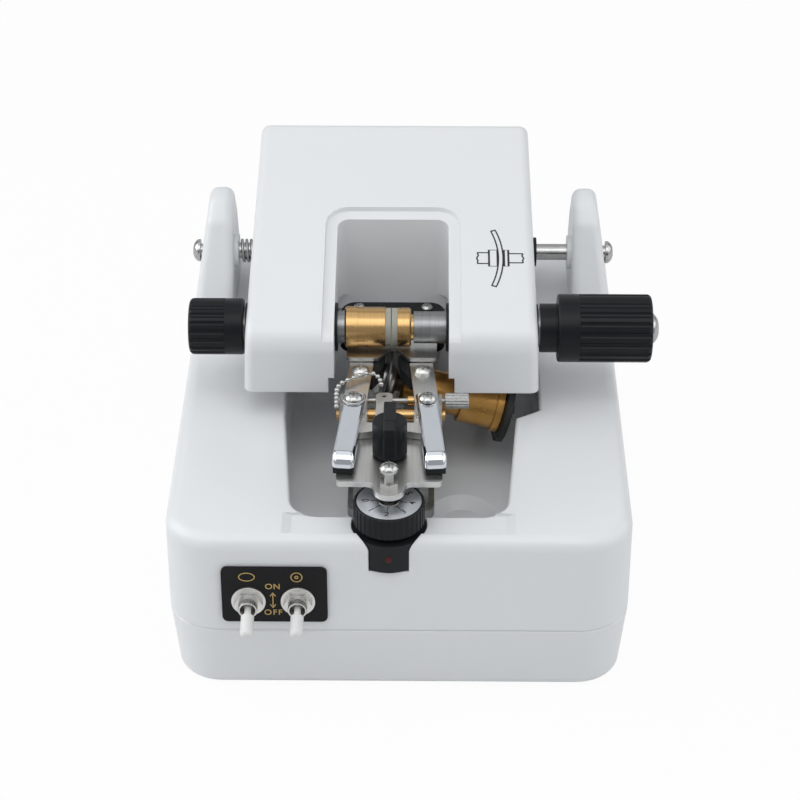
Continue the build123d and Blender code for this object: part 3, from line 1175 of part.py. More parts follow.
def lens_bores(radius):
    """Bores through the head on the lens axis."""
    return lens_axle(-HEAD_HALF_WIDTH - 5, HEAD_HALF_WIDTH + 5, radius)


def head_cover():
    outer = head_solid(0)
    sides = outer.faces().filter_by(lambda f: abs(f.normal_at().X) > 0.9)
    rims = ShapeList([e for f in sides for e in f.edges() if e.center().Z > HEAD_RIM_Z + 0.1])
    outer = fillet(rims, HEAD_EDGE_FILLET)
    cover = outer - Pos(0, 0, -0.01) * head_solid(HEAD_WALL)
    walls = slot_solid(HEAD_WALL, HEAD_RIM_Z) + block(
        -SLOT_HALF_WIDTH - HEAD_WALL - SLOT_RELIEF,
        SLOT_HALF_WIDTH + HEAD_WALL + SLOT_RELIEF,
        HEAD_FRONT_Y,
        SLOT_BACK_Y + HEAD_WALL,
        HEAD_RIM_Z,
        SLOT_RELIEF_TOP_Z + HEAD_WALL,
    )
    cover += (walls + ledge(HEAD_WALL)) & outer
    cover -= ledge(0)
    cover -= slot_solid(0, HEAD_RIM_Z - 5)
    relief = SLOT_HALF_WIDTH + SLOT_RELIEF
    cover -= block(-relief, relief, HEAD_FRONT_Y - 5, SLOT_BACK_Y, HEAD_RIM_Z - 5, SLOT_RELIEF_TOP_Z)
    cover -= lens_bores(BUSH_RADIUS)
    reach = HEAD_HALF_WIDTH + 5
    return cover - axle(-reach, reach, PIVOT_Y, PIVOT_Z, PIVOT_ROD_RADIUS + RUNNING_FIT)


def head_base():
    """Plate that closes the head from below, with bearing walls, pivot lugs and a motor cradle."""
    inset = HEAD_WALL + FREE_GAP
    half = HEAD_HALF_WIDTH - inset
    z0, z1 = HEAD_RIM_Z + 0.2, HEAD_RIM_Z + 0.2 + HEAD_BASE_THICK
    plate = block(-half, half, HEAD_FRONT_Y + inset, HEAD_BACK_Y - inset, z0, z1)
    notch = SLOT_HALF_WIDTH + SLOT_RELIEF + HEAD_WALL + FREE_GAP
    plate -= block(-notch, notch, HEAD_FRONT_Y, SLOT_BACK_Y + HEAD_WALL + FREE_GAP, z0 - 1, z1 + 1)
    wall_top = LENS_AXIS_Z + 6.5
    for x0 in (notch + 0.2, HEAD_HALF_WIDTH - OUTER_BUSH_INSET):
        wall = block(x0, x0 + INNER_WALL_THICK, LENS_AXIS_Y - 10, LENS_AXIS_Y + 10, z0, wall_top)
        for piece in both_sides(wall):
            plate += piece
    for piece in both_sides(block(half - 6.7, half - 1.2, PIVOT_Y - 6, PIVOT_Y + 6, z0, PIVOT_Z + 6)):
        plate += piece
    cradle = block(-14, 14, LENS_MOTOR_Y - 7.5, LENS_MOTOR_Y + 5, z0, LENS_MOTOR_Z - 6)
    plate += cradle - axle(-15, 15, LENS_MOTOR_Y, LENS_MOTOR_Z, LENS_MOTOR_RADIUS)
    plate = (plate & head_solid(inset)) - ledge(inset) - lens_bores(BUSH_RADIUS)
    reach = HEAD_HALF_WIDTH
    return plate - axle(-reach, reach, PIVOT_Y, PIVOT_Z, PIVOT_ROD_RADIUS + RUNNING_FIT)


def lens_motor():
    half = LENS_MOTOR_HALF_LENGTH
    body = axle(-half, half, LENS_MOTOR_Y, LENS_MOTOR_Z, LENS_MOTOR_RADIUS)
    body = chamfer(body.edges().filter_by(GeomType.CIRCLE), 1)
    return body - axle(-half - 1, half + 1, LENS_MOTOR_Y, LENS_MOTOR_Z, LENS_MOTOR_SHAFT_RADIUS + RUNNING_FIT)


def lens_motor_shaft():
    """Through shaft of the motor with a belt pulley at each end."""
    end = LENS_PULLEY_X + LENS_PULLEY_HALF_WIDTH + 1
    shaft = axle(-end, end, LENS_MOTOR_Y, LENS_MOTOR_Z, LENS_MOTOR_SHAFT_RADIUS)
    for side in (-1, 1):
        x = side * LENS_PULLEY_X
        half = LENS_PULLEY_HALF_WIDTH
        shaft += axle(x - half, x + half, LENS_MOTOR_Y, LENS_MOTOR_Z, LENS_PULLEY_RADIUS)
    return shaft


def lens_belts():
    """Two belts from the motor's shaft to the lens shafts."""
    run_y, run_z = LENS_MOTOR_Y - LENS_AXIS_Y, LENS_MOTOR_Z - LENS_AXIS_Z
    length = sqrt(run_y**2 + run_z**2)
    inner = LENS_PULLEY_RADIUS + BELT_GAP
    band = SlotCenterToCenter(length, 2 * (inner + BELT_THICK)) - SlotCenterToCenter(length, 2 * inner)
    half = LENS_PULLEY_HALF_WIDTH - 0.3
    middle = Pos(0, (LENS_MOTOR_Y + LENS_AXIS_Y) / 2, (LENS_MOTOR_Z + LENS_AXIS_Z) / 2)
    belt = extrude(Plane.YZ * Rot(0, 0, degrees(atan2(run_z, run_y))) * band, half, both=True)
    return [Pos(side * LENS_PULLEY_X, 0, 0) * middle * belt for side in (-1, 1)]


def head_bushes():
    """Black bushes of the lens shafts, flanged in the slot, and the washer on the pivot rod."""
    face = SLOT_HALF_WIDTH - BUSH_FLANGE_THICK
    bushes = []
    for side, bore in ((-1, LEFT_SHAFT_RADIUS), (1, SLEEVE_RADIUS)):
        spans = ((SLOT_HALF_WIDTH, INNER_BUSH_END, BUSH_RADIUS), (face, SLOT_HALF_WIDTH, BUSH_FLANGE_RADIUS))
        inner = None
        for near, far, radius in spans:
            x0, x1 = sorted((side * near, side * far))
            piece = lens_axle(x0, x1, radius)
            inner = piece if inner is None else inner + piece
        x0, x1 = sorted((side * (HEAD_HALF_WIDTH - OUTER_BUSH_INSET), side * (HEAD_HALF_WIDTH - 0.4)))
        hole = lens_bores(bore + RUNNING_FIT)
        bushes += [inner - hole, lens_axle(x0, x1, BUSH_RADIUS) - hole]
    x0 = HEAD_HALF_WIDTH
    washer = axle(x0, x0 + PIVOT_WASHER_HEIGHT, PIVOT_Y, PIVOT_Z, PIVOT_WASHER_RADIUS)
    washer -= axle(x0 - 1, x0 + 5, PIVOT_Y, PIVOT_Z, PIVOT_ROD_RADIUS + RUNNING_FIT)
    return bushes + [washer]


def pivot_rod():
    """Rod from ear to ear with a domed screw at each end, in the base's own frame."""
    lean = (BASE_WIDTH / 2 - EAR_TOP_OUTER_X) / (EAR_TOP_Z - DECK_HEIGHT)
    face = BASE_WIDTH / 2 - lean * (PIVOT_Z - DECK_HEIGHT - 2)
    end = face - 0.6
    rod = axle(-end, end, PIVOT_Y, PIVOT_Z, PIVOT_ROD_RADIUS)
    seat = face + lean * PIVOT_CAP_RADIUS
    cap = screw(PIVOT_CAP_RADIUS, PIVOT_CAP_HEIGHT, PIVOT_ROD_RADIUS - 0.5, seat - end)
    return [rod] + both_sides(Pos(seat, PIVOT_Y, PIVOT_Z) * Rot(0, 90, 0) * cap)


def pivot_spring():
    """Spring coiled on the rod between the left ear and the head, in the base's own frame."""
    radius = PIVOT_ROD_RADIUS + PIVOT_SPRING_WIRE / 2 + 0.3
    length = PIVOT_SPRING_PITCH * PIVOT_SPRING_TURNS
    gap_left = -EAR_INNER_X + EAR_BOSS_HEIGHT
    gap_right = MID_X - HEAD_HALF_WIDTH
    start = (gap_left + gap_right - length) / 2
    climb = PIVOT_SPRING_PITCH / (2 * pi)

    def on_coil(turn):
        angle = 2 * pi * turn
        x = start + PIVOT_SPRING_PITCH * turn
        return Vector(x, PIVOT_Y + radius * cos(angle), PIVOT_Z + radius * sin(angle))

    def along_coil(turn):
        angle = 2 * pi * turn
        return Vector(climb, -radius * sin(angle), radius * cos(angle)).normalized()

    quarters = 4 * PIVOT_SPRING_TURNS
    wire_path = []
    for i in range(quarters):
        a, b = on_coil(i / 4), on_coil((i + 1) / 4)
        wire_path += biarc(a, along_coil(i / 4), b, along_coil((i + 1) / 4))
    path = Wire(wire_path)
    section = Plane(origin=on_coil(0), z_dir=along_coil(0)) * Circle(PIVOT_SPRING_WIRE / 2)
    gap = PIVOT_SPRING_PITCH - PIVOT_SPRING_WIRE
    print("pivot spring: least gap between turns", round(gap, 2), "mm")
    return sweep(section, path=path)


def biarc(a, leave, b, arrive):
    """Two arcs from a to b that leave and arrive along the given directions."""
    chord = b - a
    total = leave + arrive
    square = total.dot(total)
    reach = (sqrt(chord.dot(total) ** 2 + chord.dot(chord) * (4 - square)) - chord.dot(total)) / (4 - square)
    near, far = a + leave * reach, b - arrive * reach
    joint = (near + far) * 0.5
    across = (far - near).normalized()
    return [Edge.make_tangent_arc(a, leave, joint), Edge.make_tangent_arc(joint, across, b)]


# Lens shafts.


def left_knob():
    start = -HEAD_HALF_WIDTH - KNOB_GAP - LEFT_KNOB_LENGTH
    knob = lens_axle(start, start + LEFT_KNOB_LENGTH, LEFT_KNOB_RADIUS)
    knob = fillet(knob.edges().group_by(Axis.X)[0], 1.6)
    knob = chamfer(knob.edges().group_by(Axis.X)[-1], 0.5)
    place = Pos(start - 1, LENS_AXIS_Y, LENS_AXIS_Z) * Rot(0, 90, 0)
    knob = fluted(knob, place, LEFT_KNOB_RADIUS, LEFT_KNOB_LENGTH - KNOB_COLLAR + 1, KNOB_FLUTES, 1.1, 0.6)
    return knob - lens_axle(-HEAD_HALF_WIDTH - 12, -HEAD_HALF_WIDTH, LEFT_SHAFT_RADIUS)


def left_shaft():
    """Left lens shaft with its belt pulley."""
    shaft = lens_axle(-HEAD_HALF_WIDTH - 12, LEFT_CHUCK_START, LEFT_SHAFT_RADIUS)
    half = LENS_PULLEY_HALF_WIDTH
    return shaft + lens_axle(-LENS_PULLEY_X - half, -LENS_PULLEY_X + half, LENS_PULLEY_RADIUS)


def left_chuck():
    """Brass chuck with a flange and a turned groove."""
    end = LENS_PLANE_X - PAD_GAP / 2 - PAD_THICK
    chuck = lens_axle(LEFT_CHUCK_START, LEFT_CHUCK_STEP, LEFT_CHUCK_FLANGE_RADIUS)
    chuck += lens_axle(LEFT_CHUCK_STEP, end, LEFT_CHUCK_RADIUS)
    return chamfer(chuck.edges().filter_by(GeomType.CIRCLE).group_by(Axis.X)[0], 0.5)


def left_pad():
    end = LENS_PLANE_X - PAD_GAP / 2
    return lens_axle(end - PAD_THICK, end, PAD_RADIUS)


def right_pad():
    start = LENS_PLANE_X + PAD_GAP / 2
    return lens_axle(start, start + PAD_THICK, PAD_RADIUS)


def right_chuck():
    start = LENS_PLANE_X + PAD_GAP / 2 + PAD_THICK
    end = start + RIGHT_CHUCK_LENGTH
    chuck = lens_axle(start, end, RIGHT_CHUCK_RADIUS)
    chuck = chamfer(chuck.edges().filter_by(GeomType.CIRCLE).group_by(Axis.X)[-1], 0.5)
    return chuck + lens_axle(end, end + RIGHT_NECK_LENGTH, RIGHT_NECK_RADIUS)


def right_sleeve():
    """Hollow lens shaft that the clamp shaft slides in, with its belt pulley."""
    end = HEAD_HALF_WIDTH + 8.7
    sleeve = lens_axle(SLOT_HALF_WIDTH - BUSH_FLANGE_THICK, end, SLEEVE_RADIUS)
    half = LENS_PULLEY_HALF_WIDTH
    sleeve += lens_axle(LENS_PULLEY_X - half, LENS_PULLEY_X + half, LENS_PULLEY_RADIUS)
    return sleeve - lens_axle(0, end + 1, RIGHT_SHAFT_RADIUS + RUNNING_FIT)


def right_shaft():
    """Clamp shaft with its threaded tail in the knob."""
    shoulder = HEAD_HALF_WIDTH - 5.5
    shaft = lens_axle(RIGHT_SHAFT_START, shoulder, RIGHT_SHAFT_RADIUS)
    return shaft + lens_axle(shoulder, shoulder + 25, CLAMP_TAIL_RADIUS)


def right_knob():
    """Clamp knob with a plain neck and collar and a fluted grip."""
    neck = HEAD_HALF_WIDTH + KNOB_GAP
    body = neck + RIGHT_KNOB_NECK_LENGTH
    end = body + RIGHT_KNOB_LENGTH
    knob = lens_axle(body, end, RIGHT_KNOB_RADIUS)
    knob = fillet(knob.edges().group_by(Axis.X)[0], 0.8)
    knob = fillet(knob.edges().group_by(Axis.X)[-1], 1.6)
    place = Pos(body + KNOB_COLLAR + 1, LENS_AXIS_Y, LENS_AXIS_Z) * Rot(0, 90, 0)
    knob = fluted(knob, place, RIGHT_KNOB_RADIUS, RIGHT_KNOB_LENGTH, KNOB_FLUTES, 1.3, 0.7)
    knob += lens_axle(neck, body, RIGHT_KNOB_NECK_RADIUS)
    knob -= lens_axle(neck - 1, HEAD_HALF_WIDTH + 8.7 + SEAT_GAP, SLEEVE_RADIUS + RUNNING_FIT)
    tail_end = HEAD_HALF_WIDTH - 5.5 + 25 + CLAMP_TRAVEL + 1
    knob -= lens_axle(neck, tail_end, CLAMP_TAIL_RADIUS + RUNNING_FIT)
    return knob - lens_axle(tail_end, end + 1, 2.0)


def clamp_end_screw():
    """Domed screw in the clamp knob's end."""
    end = HEAD_HALF_WIDTH + KNOB_GAP + RIGHT_KNOB_NECK_LENGTH + RIGHT_KNOB_LENGTH
    place = Pos(end, LENS_AXIS_Y, LENS_AXIS_Z) * Rot(0, 90, 0)
    return place * screw(END_SCREW_RADIUS, END_SCREW_HEIGHT, 2.0, 5.0)


def as_list(pieces):
    """The solids of one node, as a list."""
    return pieces if isinstance(pieces, list) else [pieces]


def write_node(name, pieces, place):
    """Writes one node's STEP file."""
    solids = [place * piece for piece in as_list(pieces)]
    solids = [solid for piece in solids for solid in piece.solids()]
    shape = solids[0] if len(solids) == 1 else Compound(children=solids)
    export_step(shape, f"parts/{name}.step")


FRONT_WALL = Pos(0, -BASE_DEPTH / 2, 0)
MECHANISM = Pos(MID_X, -BASE_DEPTH / 2, 0)
LENS_SWITCH_X, WHEEL_SWITCH_X = switch_places()
LEFT_LEVER = [mirror(piece, Plane.YZ) for piece in arm_lever()]

BASE_NODES = {
    "base_tray": base_tray(),
    "upper_housing": upper_housing(),
    "rubber_feet": rubber_feet(),
    "base_screws": base_screws(),
    "switch_panel": switch_panel(),
    "toggle_switches": toggle_switches(),
    "lens_switch_lever": switch_lever(LENS_SWITCH_X),
    "wheel_switch_lever": switch_lever(WHEEL_SWITCH_X),
    "power_inlet": power_inlet(),
    "transformer": transformer(),
    "pivot_rod": pivot_rod(),
    "pivot_spring": pivot_spring(),
}

MECHANISM_NODES = {
    "mechanism_base": mechanism_base(),
    "wheel_motor": wheel_motor(),
    "motor_pulley": motor_pulley(),
    "drive_belt": drive_belt(),
    "spindle_housing": spindle_housing(),
    "wheel_spindle": wheel_spindle(),
    "grooving_wheel": grooving_wheel(),
    "wheel_hub": wheel_hub(),
    "well_cover": well_cover(),
    "cover_screws": cover_screws(),
    "fork_plate": fork_plate(),
    "dial_holder": dial_holder(),
    "dial_knob": dial_knob(),
    "dial_face": dial_face(),
    "dial_plunger": dial_plunger(),
    "guide_pin": guide_pin(),
    "guide_plate": guide_plate(),
    "limit_screw": limit_screw(),
    "mode_knob": mode_knob(),
    "guide_carriage": guide_carriage(),
    "carriage_nut": carriage_nut(),
    "adjuster": adjuster(),
    "arm_pivot_screws": arm_pivot_screws(),
    "left_arm_bar": mirror(arm_bar(), Plane.YZ),
    "left_arm_lever": LEFT_LEVER,
    "left_guide_block": [mirror(piece, Plane.YZ) for piece in guide_block()],
    "right_arm_bar": arm_bar(),
    "right_arm_lever": arm_lever(),
    "right_guide_block": guide_block(),
    "bead_chain": bead_chain(),
    "chain_tag": chain_tag(),
    "head_cover": head_cover(),
    "head_base": head_base(),
    "head_bushes": head_bushes(),
    "lens_motor": lens_motor(),
    "lens_motor_shaft": lens_motor_shaft(),
    "lens_belts": lens_belts(),
    "left_knob": left_knob(),
    "left_shaft": left_shaft(),
    "left_chuck": left_chuck(),
    "left_pad": left_pad(),
    "right_pad": right_pad(),
    "right_chuck": right_chuck(),
    "right_sleeve": right_sleeve(),
    "right_shaft": right_shaft(),
    "right_knob": right_knob(),
    "clamp_end_screw": clamp_end_screw(),
}

os.makedirs("parts", exist_ok=True)
for node, solids in BASE_NODES.items():
    write_node(node, solids, FRONT_WALL)
for node, solids in MECHANISM_NODES.items():
    write_node(node, solids, MECHANISM)
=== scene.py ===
import json
from math import cos, pi, radians, sin, tan

import bmesh
import bpy
from mathutils import Matrix, Vector


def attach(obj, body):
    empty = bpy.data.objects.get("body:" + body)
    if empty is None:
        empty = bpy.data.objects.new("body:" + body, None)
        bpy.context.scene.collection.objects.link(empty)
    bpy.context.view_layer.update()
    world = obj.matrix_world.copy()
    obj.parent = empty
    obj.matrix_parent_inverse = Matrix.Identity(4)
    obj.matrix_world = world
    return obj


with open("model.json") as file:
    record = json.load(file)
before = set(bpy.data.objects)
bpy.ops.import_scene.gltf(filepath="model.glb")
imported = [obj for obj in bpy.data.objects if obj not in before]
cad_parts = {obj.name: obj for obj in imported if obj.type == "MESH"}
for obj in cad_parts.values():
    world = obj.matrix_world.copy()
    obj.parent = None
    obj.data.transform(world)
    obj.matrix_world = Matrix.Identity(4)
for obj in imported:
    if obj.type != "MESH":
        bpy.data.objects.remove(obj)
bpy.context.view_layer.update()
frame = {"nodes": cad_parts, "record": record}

nodes = frame["nodes"]

# Looks, print, threads, camera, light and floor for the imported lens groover.


# Sizes of the machine that the print and the threads follow, in millimetres.

MM = 0.001
BASE_DEPTH = 185.0
DECK_HEIGHT = 61.0
MID_X = -3.1  # the mechanism's middle plane
HEAD_FRONT_Y = 69.0
HEAD_FRONT_TOP_Z = DECK_HEIGHT + 33.7
HEAD_TOP_SLOPE = radians(15)
DIAL_Y = 10.4
DIAL_TOP_Z = DECK_HEIGHT + 8.2
HOLDER_RADIUS = 12.0
PANEL_THICK = 1.2
SWITCH_MIDDLE_X = -40.0
SWITCH_PITCH = 15.8
SWITCH_Z = DECK_HEIGHT - 23.0


def at(x, y, z):
    """A place in metres, from millimetres: x from the base's middle and y from the front wall."""
    return Vector((x, y - BASE_DEPTH / 2, z)) * MM


def mid(x, y, z):
    """The same, with x from the mechanism's middle plane."""
    return at(x + MID_X, y, z)


# Camera, lamps, background and floor, in metres.

SENSOR_WIDTH = 36  # in millimetres, as the lens is
LENS = 112.5
CLIP_START = 0.05
CAMERA_PLACE = (0.0069, -0.7283, 0.5268)
CAMERA_ROTATION = (radians(57), 0, 0.0101)

LAMP_AIM = (0, 0, 0.05)
LAMP_COLOUR = (0.975, 0.988, 1)
# Name, place, width and height, power in watts.
LAMPS = [
    ("top", (-0.15, 0.05, 1.2), (1.2, 1.2), 2.8),
    ("top_front", (0, -0.6, 1.1), (1.4, 0.8), 5.2),
    ("back", (0, 1.1, 0.8), (1.6, 0.7), 1.1),
    ("front_left", (-0.75, -0.75, 0.8), (0.8, 0.8), 1.5),
    ("front_right", (0.85, -0.6, 0.6), (0.7, 0.8), 1.5),
    ("left", (-1.0, 0.1, 0.6), (0.9, 0.9), 6.0),
    ("right", (1.0, 0.1, 0.6), (0.9, 0.9), 3.3),
]

WHITE = (1, 1, 1, 1)
AMBIENT_COLOUR = (0.93, 0.97, 1, 1)
AMBIENT_STRENGTH = 0.16
GLOSS_SHARE = 0.28  # how strongly the white background shows in reflections
FLOOR_SIZE = 8
FLOOR_COLOUR = (0.82, 0.82, 0.82, 1)
FLOOR_ROUGHNESS = 0.8
FLOOR_WHITE_SHARE = 0.95  # the rest shows the floor's own surface with its shadow


def add_camera():
    """Camera at the photograph's viewpoint."""
    data = bpy.data.cameras.new("camera")
    data.sensor_width = SENSOR_WIDTH
    data.lens = LENS
    data.clip_start = CLIP_START
    data.dof.use_dof = False
    camera = bpy.data.objects.new("camera", data)
    camera.location = CAMERA_PLACE
    camera.rotation_euler = CAMERA_ROTATION
    bpy.context.collection.objects.link(camera)
    bpy.context.scene.camera = camera


def add_lamp(name, place, size, power):
    """Rectangular lamp that faces the machine."""
    data = bpy.data.lights.new(name, "AREA")
    data.shape = "RECTANGLE"
    data.size, data.size_y = size
    data.energy = power
    data.color = LAMP_COLOUR
    lamp = bpy.data.objects.new(name, data)
    lamp.location = place
    lamp.rotation_euler = (Vector(LAMP_AIM) - Vector(place)).to_track_quat("-Z", "Y").to_euler()
    bpy.context.collection.objects.link(lamp)


def calculate(tree, operation, first, second):
    """Result of a Math node on an output and a second output or a number."""
    node = tree.nodes.new("ShaderNodeMath")
    node.operation = operation
    tree.links.new(first, node.inputs[0])
    if isinstance(second, float):
        node.inputs[1].default_value = second
    else:
        tree.links.new(second, node.inputs[1])
    return node.outputs[0]


def white_share(tree):
    """1 for rays from the camera or through a clear piece, GLOSS_SHARE for reflected ones, else 0."""
    rays = tree.nodes.new("ShaderNodeLightPath").outputs
    reflected = calculate(tree, "MULTIPLY", rays["Is Glossy Ray"], GLOSS_SHARE)
    seen = calculate(tree, "MAXIMUM", rays["Is Camera Ray"], reflected)
    return calculate(tree, "MAXIMUM", seen, rays["Is Transmission Ray"])


def mix_to_surface(tree, output_name, share, first, second):
    """Leads two shaders to the surface, with the second one's share."""
    mixed = tree.nodes.new("ShaderNodeMixShader")
    tree.links.new(share, mixed.inputs[0])
    tree.links.new(first.outputs[0], mixed.inputs[1])
    tree.links.new(second.outputs[0], mixed.inputs[2])
    tree.links.new(mixed.outputs[0], tree.nodes[output_name].inputs["Surface"])


def set_world():
    """Faint even light on surfaces, plain white to the camera and a share of it in reflections."""
    world = bpy.data.worlds.new("studio")
    world.use_nodes = True
    tree = world.node_tree
    ambient = tree.nodes["Background"]
    ambient.inputs["Color"].default_value = AMBIENT_COLOUR
    ambient.inputs["Strength"].default_value = AMBIENT_STRENGTH
    white = tree.nodes.new("ShaderNodeBackground")
    white.inputs["Color"].default_value = WHITE
    mix_to_surface(tree, "World Output", white_share(tree), ambient, white)
    bpy.context.scene.world = world


def add_floor():
    """Pale floor: nearly white to the camera, with a soft shadow of the machine."""
    bpy.ops.mesh.primitive_plane_add(size=FLOOR_SIZE, location=(0, 0, 0))
    floor = bpy.context.object
    floor.name = "floor"
    mat = bpy.data.materials.new("floor")
    mat.use_nodes = True
    tree = mat.node_tree
    surface = tree.nodes["Principled BSDF"]
    surface.inputs["Base Color"].default_value = FLOOR_COLOUR
    surface.inputs["Roughness"].default_value = FLOOR_ROUGHNESS
    glow = tree.nodes.new("ShaderNodeEmission")
    glow.inputs["Color"].default_value = WHITE
    share = calculate(tree, "MULTIPLY", white_share(tree), FLOOR_WHITE_SHARE)
    mix_to_surface(tree, "Material Output", share, surface, glow)
    floor.data.materials.append(mat)


# Materials. Depths and edges are in millimetres, and a noise repeats about scale times in a metre.

NOISE_LOW = 0.3
NOISE_HIGH = 0.7
BEVEL_SAMPLES = 4
# Scale and detail of each noise.
CLOUDS = (22, 4)
HAZE = (160, 3)
PEEL = (700, 3)
SMUDGES = (240, 2)
GRIT = (900, 2)
LINE_SCALE = 60
LINE_DETAIL = 3
GRIT_SHARE = 0.4  # of the lines' depth
# How much the lines of a worked metal are squeezed along x, y and z.
EVEN = (4, 4, 4)
ALONG_Y = (40, 1, 40)
AROUND_X = (45, 1, 1)
# Sockets of a Mix node for colours, whose names other sockets share.
MIX_FACTOR = 0
MIX_FIRST_COLOUR = 6
MIX_SECOND_COLOUR = 7
MIX_COLOUR_RESULT = 2


def new_material(name, **sockets):
    """Material with values for sockets of its shader, named with _ for each space."""
    mat = bpy.data.materials.new(name)
    mat.use_nodes = True
    tree = mat.node_tree
    shader = tree.nodes["Principled BSDF"]
    for socket, value in sockets.items():
        shader.inputs[socket.replace("_", " ")].default_value = value
    return mat, tree, shader


def noise(tree, scale, detail, stretch=(1, 1, 1)):
    """Noise in the part's own metres; stretch multiplies the scale along each axis."""
    coords = tree.nodes.new("ShaderNodeTexCoord")
    mapping = tree.nodes.new("ShaderNodeMapping")
    mapping.inputs["Scale"].default_value = stretch
    texture = tree.nodes.new("ShaderNodeTexNoise")
    texture.inputs["Scale"].default_value = scale
    texture.inputs["Detail"].default_value = detail
    tree.links.new(coords.outputs["Object"], mapping.inputs["Vector"])
    tree.links.new(mapping.outputs["Vector"], texture.inputs["Vector"])
    return texture.outputs["Fac"]


def spread(tree, value, low, high):
    """Stretches a noise value to the range low to high."""
    node = tree.nodes.new("ShaderNodeMapRange")
    node.inputs["From Min"].default_value = NOISE_LOW
    node.inputs["From Max"].default_value = NOISE_HIGH
    node.inputs["To Min"].default_value = low
    node.inputs["To Max"].default_value = high
    tree.links.new(value, node.inputs["Value"])
    return node.outputs["Result"]


def vary_colour(tree, shader, pattern, dark, light):
    """Base colour that runs from dark to light with a noise."""
    node = tree.nodes.new("ShaderNodeMix")
    node.data_type = "RGBA"
    node.inputs[MIX_FIRST_COLOUR].default_value = (*dark, 1)
    node.inputs[MIX_SECOND_COLOUR].default_value = (*light, 1)
    tree.links.new(spread(tree, pattern, 0, 1), node.inputs[MIX_FACTOR])
    tree.links.new(node.outputs[MIX_COLOUR_RESULT], shader.inputs["Base Color"])


def relief(tree, shader, edge, *heights):
    """Bumps from (height, depth) pairs over edges that are rounded by edge, or sharp at 0."""
    normal = None
    if edge:
        bevel = tree.nodes.new("ShaderNodeBevel")
        bevel.samples = BEVEL_SAMPLES
        bevel.inputs["Radius"].default_value = edge * MM
        normal = bevel.outputs["Normal"]
    for height, depth in heights:
        bump = tree.nodes.new("ShaderNodeBump")
        bump.inputs["Strength"].default_value = 1.0
        bump.inputs["Distance"].default_value = depth * MM
        tree.links.new(height, bump.inputs["Height"])
        if normal:
            tree.links.new(normal, bump.inputs["Normal"])
        normal = bump.outputs["Normal"]
    tree.links.new(normal, shader.inputs["Normal"])


def plastic(name, dark, light, rough, peel=0.004, edge=0.25, **sockets):
    """Moulded plastic: cloudy colour, uneven gloss and a fine orange peel."""
    mat, tree, shader = new_material(name, **sockets)
    vary_colour(tree, shader, noise(tree, *CLOUDS), dark, light)
    tree.links.new(spread(tree, noise(tree, *HAZE), *rough), shader.inputs["Roughness"])
    relief(tree, shader, edge, (noise(tree, *PEEL), peel))
    return mat


def metal(name, dark, light, rough, groove, stretch=EVEN, scale=LINE_SCALE, edge=0.12):
    """Worked metal: lines in colour and relief, smudges in its gloss and a finer grit."""
    mat, tree, shader = new_material(name, Metallic=1.0)
    lines = noise(tree, scale, LINE_DETAIL, stretch)
    vary_colour(tree, shader, lines, dark, light)
    tree.links.new(spread(tree, noise(tree, *SMUDGES), *rough), shader.inputs["Roughness"])
    relief(tree, shader, edge, (lines, groove), (noise(tree, *GRIT), groove * GRIT_SHARE))
    return mat


PLASTICS = {
    "white_abs": dict(
        dark=(0.810, 0.822, 0.832), light=(0.816, 0.828, 0.838), rough=(0.29, 0.31), peel=0.002, edge=0.35
    ),
    "white_base": dict(dark=(0.62, 0.62, 0.61), light=(0.68, 0.68, 0.67), rough=(0.4, 0.5)),
    "white_sleeve": dict(dark=(0.76, 0.76, 0.75), light=(0.82, 0.82, 0.81), rough=(0.25, 0.35)),
    "black_panel": dict(
        dark=(0.008, 0.008, 0.009), light=(0.014, 0.014, 0.015), rough=(0.36, 0.46), peel=0.003,
        Specular_IOR_Level=0.15,
    ),
    "black_knob": dict(
        dark=(0.005, 0.006, 0.008), light=(0.008, 0.010, 0.012), rough=(0.3, 0.4), peel=0.003,
        Specular_IOR_Level=0.2,
    ),
    "black_nylon": dict(
        dark=(0.008, 0.010, 0.011), light=(0.013, 0.016, 0.017), rough=(0.4, 0.52), peel=0.008,
        Specular_IOR_Level=0.2,
    ),
    "rubber": dict(dark=(0.02, 0.02, 0.02), light=(0.035, 0.035, 0.035), rough=(0.6, 0.75), peel=0.01),
    "motor_case": dict(dark=(0.05, 0.05, 0.055), light=(0.08, 0.08, 0.085), rough=(0.35, 0.5)),
    "clear_pad": dict(
        dark=(0.44, 0.41, 0.34), light=(0.52, 0.49, 0.41), rough=(0.3, 0.42),
        Transmission_Weight=0.2, IOR=1.41, Subsurface_Weight=0.2,
    ),
    "print_gold": dict(
        dark=(0.50, 0.34, 0.10), light=(0.62, 0.43, 0.15), rough=(0.35, 0.5), peel=0.001, edge=0
    ),
    "print_black": dict(
        dark=(0.01, 0.01, 0.011), light=(0.02, 0.02, 0.021), rough=(0.4, 0.5), peel=0.001, edge=0
    ),
    "red_dot": dict(
        dark=(0.060, 0.004, 0.008), light=(0.085, 0.006, 0.012), rough=(0.35, 0.45), peel=0.002, edge=0,
        Specular_IOR_Level=0.25,
    ),
}
